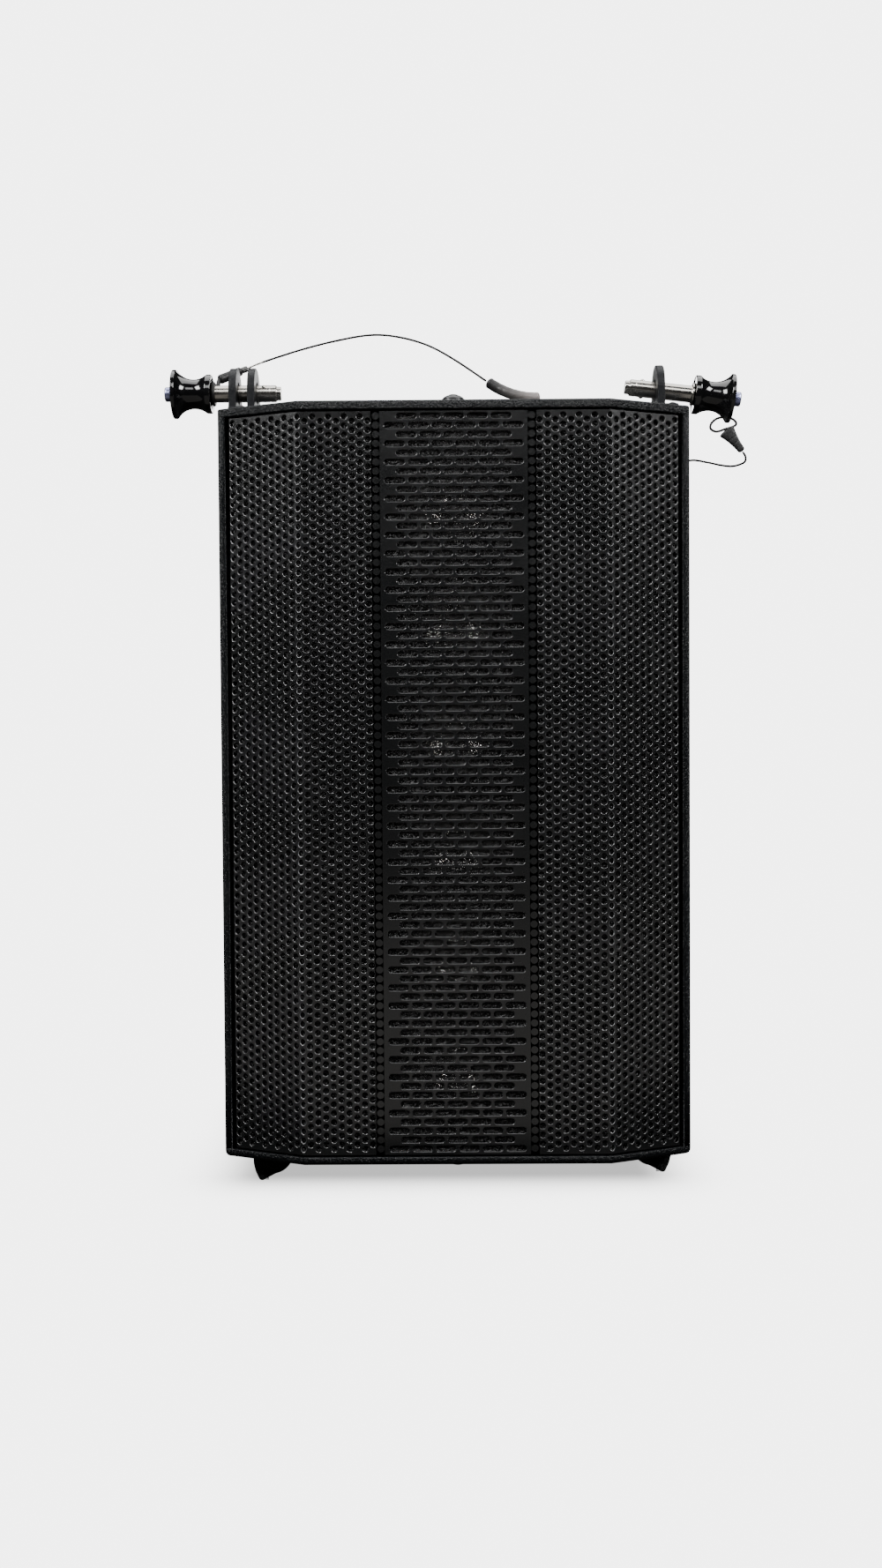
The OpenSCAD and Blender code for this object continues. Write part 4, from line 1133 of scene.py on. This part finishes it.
def ear(x):
    """Plate round a hole. Its outline is a half circle above the hole and a rectangle below,
    so its distance from the hole's middle at angle a is the nearest of those edges'. The
    outer edge is rounded, and the hole's has a bevel of 0.5 mm."""
    down = pin_z - top_z
    corner = np.pi - np.arctan2(ear_r, down)
    a = np.unique(np.round(np.concatenate([around(72), [corner, 2 * np.pi - corner]]), 9))
    beside = ear_r / np.maximum(np.abs(np.sin(a)), 1e-9)
    below = down / np.maximum(np.abs(np.cos(a)), 1e-9)
    reach = np.where(np.cos(a) >= 0, ear_r, np.minimum(beside, below))
    half_section = [
        (reach, ear_half - ear_round),
        (reach - 0.3 * ear_round, ear_half - 0.3 * ear_round),
        (reach - ear_round, ear_half),
        (np.full(len(a), hole + 0.5 * mm), ear_half),
        (np.full(len(a), hole), ear_half - 0.5 * mm),
    ]
    mirrored = [(far, -across) for far, across in half_section[::-1]]
    section = mirrored[-1:] + half_section + mirrored[:-1]
    rows = [np.stack([np.full(len(a), x + across), pin_y - far * np.sin(a), pin_z + far * np.cos(a)], 1)
            for far, across in section]
    return np.concatenate(rows), [(grid(len(section), len(a), True, True), True)]


def block(low, high, radius, upright=2.0 * mm):
    """Box with rounded uprights, and quarter rounds at its top and bottom edges."""
    x0, y0, z0, x1, y1, z1 = *low, *high
    corners = np.array([[x0, y0], [x1, y0], [x1, y1], [x0, y1]])
    a = np.linspace(0, np.pi / 2, 5)
    insets = np.concatenate([radius * (1 - np.sin(a)), radius * (1 - np.cos(a))])
    heights = np.concatenate([z0 + radius * (1 - np.cos(a)), z1 - radius * (1 - np.sin(a))])
    rings = [outline(corners, inset, upright, 6).reshape(-1, 2) for inset in insets]
    return capped_grid(np.stack([at_height(ring, height) for ring, height in zip(rings, heights)]))


for side, ears in (("left", [-163.4 * mm, -149.6 * mm]), ("right", [153.8 * mm])):
    low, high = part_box(f"rig_bracket_{side}")
    base = block(low, (high.x, high.y, low.z + 4 * mm), 0.6 * mm)
    bracket = joined(base, *[ear(x) for x in ears])
    nodes = [f"rig_bracket_{side}"]
    firm(add_piece(f"{side}_bracket", bracket, plate_paint, "cabinet", nodes))

# ---------------------------------------------------------------- quick-release pins
# Each pin is a polished stainless tube with a collar, pressed into a gloss black spool.
# A violet anodised button at its end moves a spindle inside it, which lets two balls in.

steel = finish_of("polished stainless", (0.75, 0.72, 0.67), (0.9, 0.89, 0.86), (0.5, 0.45, 0.38), 0.17,
                  scale=60, height=0.05, worn=0.5, dust_share=0.3, Metallic=1.0)
gloss = finish_of("gloss black spool", (0.003, 0.003, 0.0035), 0.02, 0.03, 0.1, scale=120, height=0.06,
                  worn=0.3, dust_share=0.15, Coat_Weight=1.0, Coat_Roughness=0.04)
violet = finish_of("violet anodised button", (0.42, 0.45, 0.82), (0.75, 0.76, 0.95), (0.35, 0.36, 0.5), 0.33,
                   scale=300, height=0.1, worn=0.8, Metallic=1.0)

tilt = np.radians(6.5)
right_axis = np.array([np.cos(tilt), 0, -np.sin(tilt)])
pins = {
    "left": (np.array([-128.6 * mm, pin_y, pin_z]), np.array([-1.0, 0, 0])),
    "right": (np.array([153.8 * mm, pin_y, pin_z]) - right_axis * 25.41 * mm, right_axis),
}
shank = mm * np.array([
    [4.3, 0], [4.75, 0.2], [5.0, 0.7], [5.0, 3.0], [5.3, 3.5], [6.0, 3.9], [6.2, 4.4], [6.2, 7.9],
    [6.05, 8.1], [6.05, 8.7], [6.2, 8.9], [6.2, 49.6], [6.5, 50.1], [8.0, 50.2], [8.3, 50.5], [8.3, 51.7],
    [8.0, 52], [6.2, 52.05], [6.2, 75.1], [3.4, 75.2], [3.4, 4.2],
])
h = np.linspace(4.2, 26.3, 28)
waist = np.stack([25.8 - np.sqrt(225 - (h - 13.6) ** 2), h], 1)
spool = mm * np.vstack([
    [[6.3, 0], [13.6, 0], [14.1, 0.2], [14.3, 0.7], [14.3, 3.2], [14.25, 3.8]], waist,
    [[18.0, 26.9], [18.0, 28.5], [17.8, 29.0], [17.3, 29.2], [7.4, 29.2], [6.4, 28.9], [5.9, 28.3],
     [5.9, 23.2], [6.3, 23.1], [6.3, 0]],
])
spool[:, 1] += 52 * mm
button = mm * np.array([[2.2, 9.8], [2.2, 79.2], [5.35, 79.3], [5.4, 86.4], [5.2, 87.0], [4.7, 87.35],
                        [3.6, 87.4], [3.3, 87.1], [3.2, 86.9]])

for side, (tip, axis) in pins.items():
    start = np.array([0, 0, 1.0]) if side == "left" else np.cross(axis, [0, 1.0, 0]) * -1
    body = f"pin_{side}"
    shank_solid, spool_solid = turned(shank, tip, axis, start, 64), turned(spool, tip, axis, start, 72)
    button_solid = turned(button, tip, axis, start)
    firm(add_piece(f"{side}_shank", shank_solid, steel, body, [f"{body}_shank"]))
    firm(add_piece(f"{side}_spool", spool_solid, gloss, body, [f"{body}_handle"]))
    add_piece(f"{side}_button", button_solid, violet, f"{body}_button", [f"{body}_button"])
dress(steel, "pin_left_ball_front", "pin_left_ball_rear", "pin_right_ball_top", "pin_right_ball_bottom")

# ---------------------------------------------------------------- feet
# Wedge feet are moulded in hard black rubber, with a steep outer face, a hollowed flank
# towards the middle and columns of fine gripping ribs on the end that faces forward.


def rounded(corners, radius, steps):
    """Path with each corner rounded: the corner c, between points a distance q before and
    after it, becomes the curve (1-t)^2 before + 2t(1-t) c + t^2 after."""
    before = np.roll(corners, 1, 0) - corners
    after = np.roll(corners, -1, 0) - corners
    reach_b = np.minimum(radius, np.linalg.norm(before, axis=1) / 2.02)[:, None]
    reach_a = np.minimum(radius, np.linalg.norm(after, axis=1) / 2.02)[:, None]
    b = (corners + unit(before) * reach_b)[:, None]
    a = (corners + unit(after) * reach_a)[:, None]
    t = np.linspace(0, 1, steps)[None, :, None]
    bent = (1 - t) ** 2 * b + 2 * t * (1 - t) * corners[:, None] + t**2 * a
    return np.vstack([corners[:1], bent[1:-1].reshape(-1, 2), corners[-1:]])


def foot(x, y, sign):
    """Section carried 50 mm back. It goes down the outer face, round the tip and up the
    flank, an arc of 16 mm, and its ends are rounded by drawing it in towards its middle."""
    a = np.radians(np.linspace(10, 70, 12))
    flank = np.stack([8 + 16 * np.sin(a), 21 - 16 * np.cos(a)], 1)
    outside = [[-6.2, 22], [-6, 13], [-4.6, 7], [-1.6, 0.6], [-0.2, 0], [1.2, 0], [5, 2.2]]
    section = rounded(np.vstack([outside, flank, [[28, 22]]]), 1.0, 5) * mm
    middle = np.array([8, 15]) * mm
    back = np.array([0, 0.25, 0.8, 1.6, 48.4, 49.2, 49.75, 50]) * mm
    shrink = np.array([0.955, 0.98, 0.995, 1, 1, 0.995, 0.98, 0.955])[:, None, None]
    rows = middle + (section - middle) * shrink
    rows[..., 1] = np.minimum(rows[..., 1] + (section[..., 1] > 21.9 * mm) * 2 * mm, base_z)
    deep = np.repeat((y + back)[:, None], len(section), 1)
    points = np.stack([x - sign * rows[..., 0], deep, rows[..., 1]], -1)
    return capped_grid(points if sign > 0 else points[:, ::-1])


def ribs(x, y, sign):
    """Small bars in five columns, 0.95 mm apart up the end, each column as long as the
    section is high there. They stand 0.35 mm forward."""
    made = []
    for column in range(5):
        across = 0.4 + 2.9 * column
        low = 0.9 if across < 4 else 21 - np.sqrt(max(256 - (across + 1 - 8) ** 2, 1)) + 1.4
        for height in np.arange(low, 20.8, 0.95):
            x0, x1 = sorted([x - sign * across * mm, x - sign * (across + 2.3) * mm])
            made.append(([x0, y - 0.35 * mm, height * mm], [x1, y + 0.3 * mm, (height + 0.5) * mm]))
    low, high = np.array(made).transpose(1, 0, 2)
    pick = [[0, 0, 0], [1, 0, 0], [1, 1, 0], [0, 1, 0], [0, 0, 1], [1, 0, 1], [1, 1, 1], [0, 1, 1]]
    points = low[:, None] + (high - low)[:, None] * np.array(pick)
    quads = np.array([[0, 3, 2, 1], [4, 5, 6, 7], [0, 1, 5, 4], [1, 2, 6, 5], [2, 3, 7, 6], [3, 0, 4, 7]])
    faces = (np.arange(len(made))[:, None, None] * 8 + quads).reshape(-1, 4)
    return points.reshape(-1, 3), [(faces, False)]


hard_rubber = finish_of("hard black rubber", (0.012, 0.0125, 0.013), (0.06, 0.062, 0.065), 0.06, 0.4,
                        scale=700, height=0.4, worn=0.9)
for name, places in (
    ("foot_front_left", [(-147.3, -77, -1)]),
    ("foot_front_right", [(156, -60, 1)]),
    ("feet_rear", [(-126, 55, -1), (126, 55, 1)]),
):
    solids = [part(x * mm, y * mm, sign) for x, y, sign in places for part in (foot, ribs)]
    firm(add_piece(f"rubber_{name}", joined(*solids), hard_rubber, "cabinet", [name]))

# ---------------------------------------------------------------- screws and anchors
# Black oxide screws: domed ones close the two fly points, pan heads hold the brackets and
# the rear fittings, and one washer head at each lanyard's end holds its strap.

oxide = finish_of("black oxide steel", (0.01, 0.01, 0.011), (0.06, 0.058, 0.055), (0.03, 0.03, 0.028), 0.24,
                  scale=500, height=0.15, worn=0.3, Specular_IOR_Level=0.8)


def domed(r, tall, recess):
    """Head of a screw: a flat-sided rim, an ellipse up to the recess, and the recess."""
    a = np.linspace(0.12, np.pi / 2 - 0.3, 14)
    dome = np.stack([r * np.cos(a), tall * np.sin(a)], 1)
    end = np.array([[recess, tall * 0.99], [recess * 0.92, tall * 0.9], [recess * 0.86, tall * 0.45]])
    return np.vstack([[[r * 0.96, 0], [r, tall * 0.05]], dome, end])


fly_low, fly_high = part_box("flying_screws")
fly_y = (fly_low.y + fly_high.y) / 2
fly_top = turned(domed(9 * mm, fly_high.z - top_z, 3.0 * mm), (0, fly_y, top_z), (0, 0, 1), (1, 0, 0))
fly_bottom = turned(domed(6.5 * mm, 2.4 * mm, 2.4 * mm), (0, fly_y, base_z), (0, 0, -1), (1, 0, 0))
add_piece("fly_point_screws", joined(fly_top, fly_bottom), oxide, "cabinet", ["flying_screws"])

pan_head = domed(3.4 * mm, 1.8 * mm, 1.3 * mm)
bracket_heads = joined(*[
    turned(pan_head, (x * mm, pin_y + k * 17 * mm, top_z + 4 * mm), (0, 0, 1), (1, 0, 0), 24)
    for pair in ((-157, -138), (143, 162)) for k in (-1, 1) for x in pair
])
add_piece("bracket_screws", bracket_heads, oxide, "cabinet", ["bracket_and_foot_screws"])

anchor_x, anchor_y = 72 * mm, -97 * mm
strap_ends = (anchor_x - 9 * mm, anchor_y - 2 * mm, top_z), (anchor_x, anchor_y + 2 * mm, top_z + 1.5 * mm)
top_head, side_head = (domed(r * mm, 3.4 * mm, 1.6 * mm) for r in (4.5, 5))
on_side = crossing(np.array([corner_x, corner_y]), side_run, np.array([0, 100 * mm]), np.array([1.0, 0]))
anchors = joined(
    block(*strap_ends, 0.3 * mm, 0.6 * mm),
    turned(top_head, (anchor_x, anchor_y, top_z), (0, 0, 1), (1, 0, 0), 32),
    turned(side_head, np.append(on_side, 440 * mm), np.append(-side_in, 0), (0, 0, 1), 32),
)
add_piece("lanyard_screws", anchors, oxide, "cabinet", ["lanyard_anchors"])
dress(oxide, "driver_screws")

# ---------------------------------------------------------------- rear fittings
# A moulded cup with a round bar lets a hand lift the cabinet. A steel plate holds two
# locking sockets, and four threaded steel inserts take a wall bracket.

moulded = finish_of("moulded black nylon", (0.016, 0.017, 0.018), 0.05, 0.07, 0.45, height=0.6)
zinc = finish_of("zinc plated steel", (0.5, 0.48, 0.42), (0.75, 0.73, 0.68), (0.3, 0.28, 0.22), 0.3,
                 scale=400, height=0.2, Metallic=1.0)


def cup(low, high, wide, tall):
    """Tray whose rounded rectangles, seen from behind, go from the underside of its floor
    out to the flange, over its edge and back down the inside to the floor."""
    cx, cz = (low.x + high.x) / 2, (low.z + high.z) / 2
    flange = ((high.x - low.x) / 2, (high.z - low.z) / 2)
    body = (wide / 2, tall / 2)
    floor, face = low.y, high.y
    steps = [
        (body, 3.5, 2.2, floor), (body, 3.5, 0, floor + 2.2 * mm), (body, 3.5, 0, face - 2.5 * mm),
        (flange, 5, 0, face - 2.5 * mm), (flange, 5, 0, face - 0.6 * mm), (flange, 5, 0.6, face),
        (body, 6, 2.2, face), (body, 6, 2.7, face - 0.3 * mm), (body, 6, 3.2, face - 1.2 * mm),
        (body, 6, 4.2, floor + 3 * mm + 4 * mm), (body, 6, 5.5, floor + 3 * mm + 1 * mm),
        (body, 6, 8, floor + 3 * mm),
    ]
    rings = []
    for (half_w, half_h), radius, inset, y in steps:
        corners = np.array([[-half_h, -half_w], [half_h, -half_w], [half_h, half_w], [-half_h, half_w]])
        ring = outline(corners, inset * mm, radius * mm, 6).reshape(-1, 2)
        rings.append(np.stack([cx + ring[:, 1], np.full(len(ring), y), cz + ring[:, 0]], 1))
    return capped_grid(np.stack(rings))


handle_low, handle_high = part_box("rear_handle")
handle_z = (handle_low.z + handle_high.z) / 2
tray = cup(handle_low, handle_high, 129.4 * mm, 49.4 * mm)
bar_x = np.linspace(-62.5, 62.5, 60) * mm
swell = 6.6 * mm + 1.4 * mm * np.clip((np.abs(bar_x) - 52 * mm) / (10 * mm), 0, 1) ** 2
bar = tube(np.stack([bar_x, np.full(60, rear_y - 9 * mm), np.full(60, handle_z + 14 * mm)], 1), swell, 32)
firm(add_piece("lifting_handle", joined(tray, bar), moulded, "cabinet", ["rear_handle"]))


def on_rear(flat, deep):
    """Place of points of the socket plate, (distance to the left, height), at a depth."""
    return np.column_stack([-flat[:, 0], np.full(len(flat), rear_y - deep), flat[:, 1]])


plate_low, plate_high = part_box("connector_plate")
socket_x, socket_z = 22 * mm, (plate_low.z + plate_high.z) / 2
level = np.full((2, 1), socket_z)
holes = cells_of(
    np.array([[plate_low.x], [0.0]]), np.array([[-socket_x], [socket_x]]), np.array([[0.0], [plate_high.x]]),
    np.full((2, 1), plate_low.z), level, np.full((2, 1), plate_high.z),
    circle_of(48) * 15.4 * mm, circle_of(48) * 15.1 * mm,
)
plate = punched([holes], np.zeros((0, 4, 2)), on_rear, 2.4 * mm, 0.3 * mm)
add_piece("socket_plate", plate[:2], plate_paint, "cabinet", ["connector_plate"])
shell = mm * np.array([[15, 0], [15, 21.4], [14.6, 21.9], [12.6, 21.9], [12, 21.4], [12, 2], [4.5, 1.9],
                       [4.2, 2.1], [4, 15], [3.2, 15.6]])
sockets = joined(*[
    turned(shell, (x, rear_y - 22 * mm, socket_z), (0, 1, 0), (0, 0, 1)) for x in (-socket_x, socket_x)
])
firm(add_piece("locking_sockets", sockets, moulded, "cabinet", ["connector_sockets"]))

insert_low, insert_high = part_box("mounting_inserts")
thread = np.linspace(13.2, 0.8, 60)
bore = np.stack([3.4 + 0.12 * np.cos(thread * 2 * np.pi / 1.25), thread], 1)
nut = mm * np.vstack([[[4.0, 0], [6, 0.2], [6, 13.6], [5.7, 13.95], [4.3, 13.95]], bore, [[4.0, 0]]])
nuts = joined(*[
    turned(nut, (x, rear_y - 14 * mm, z), (0, 1, 0), (0, 0, 1), 36)
    for x in (insert_low.x + 6 * mm, insert_high.x - 6 * mm)
    for z in (insert_low.z + 6 * mm, insert_high.z - 6 * mm)
])
add_piece("threaded_inserts", nuts, zinc, "cabinet", ["mounting_inserts"])

small_head = domed(3 * mm, 1.4 * mm, 1.1 * mm)
rear_heads = joined(*[
    turned(small_head, (sx * x, rear_y - 1.45 * mm, z + sz * up), (0, 1, 0), (0, 0, 1), 24)
    for x, z, up in ((plate_high.x - 5 * mm, socket_z, 26 * mm), (71 * mm, handle_z, 29 * mm))
    for sx in (-1, 1) for sz in (-1, 1)
])
add_piece("rear_fixing_screws", rear_heads, oxide, "cabinet", ["rear_screws"])
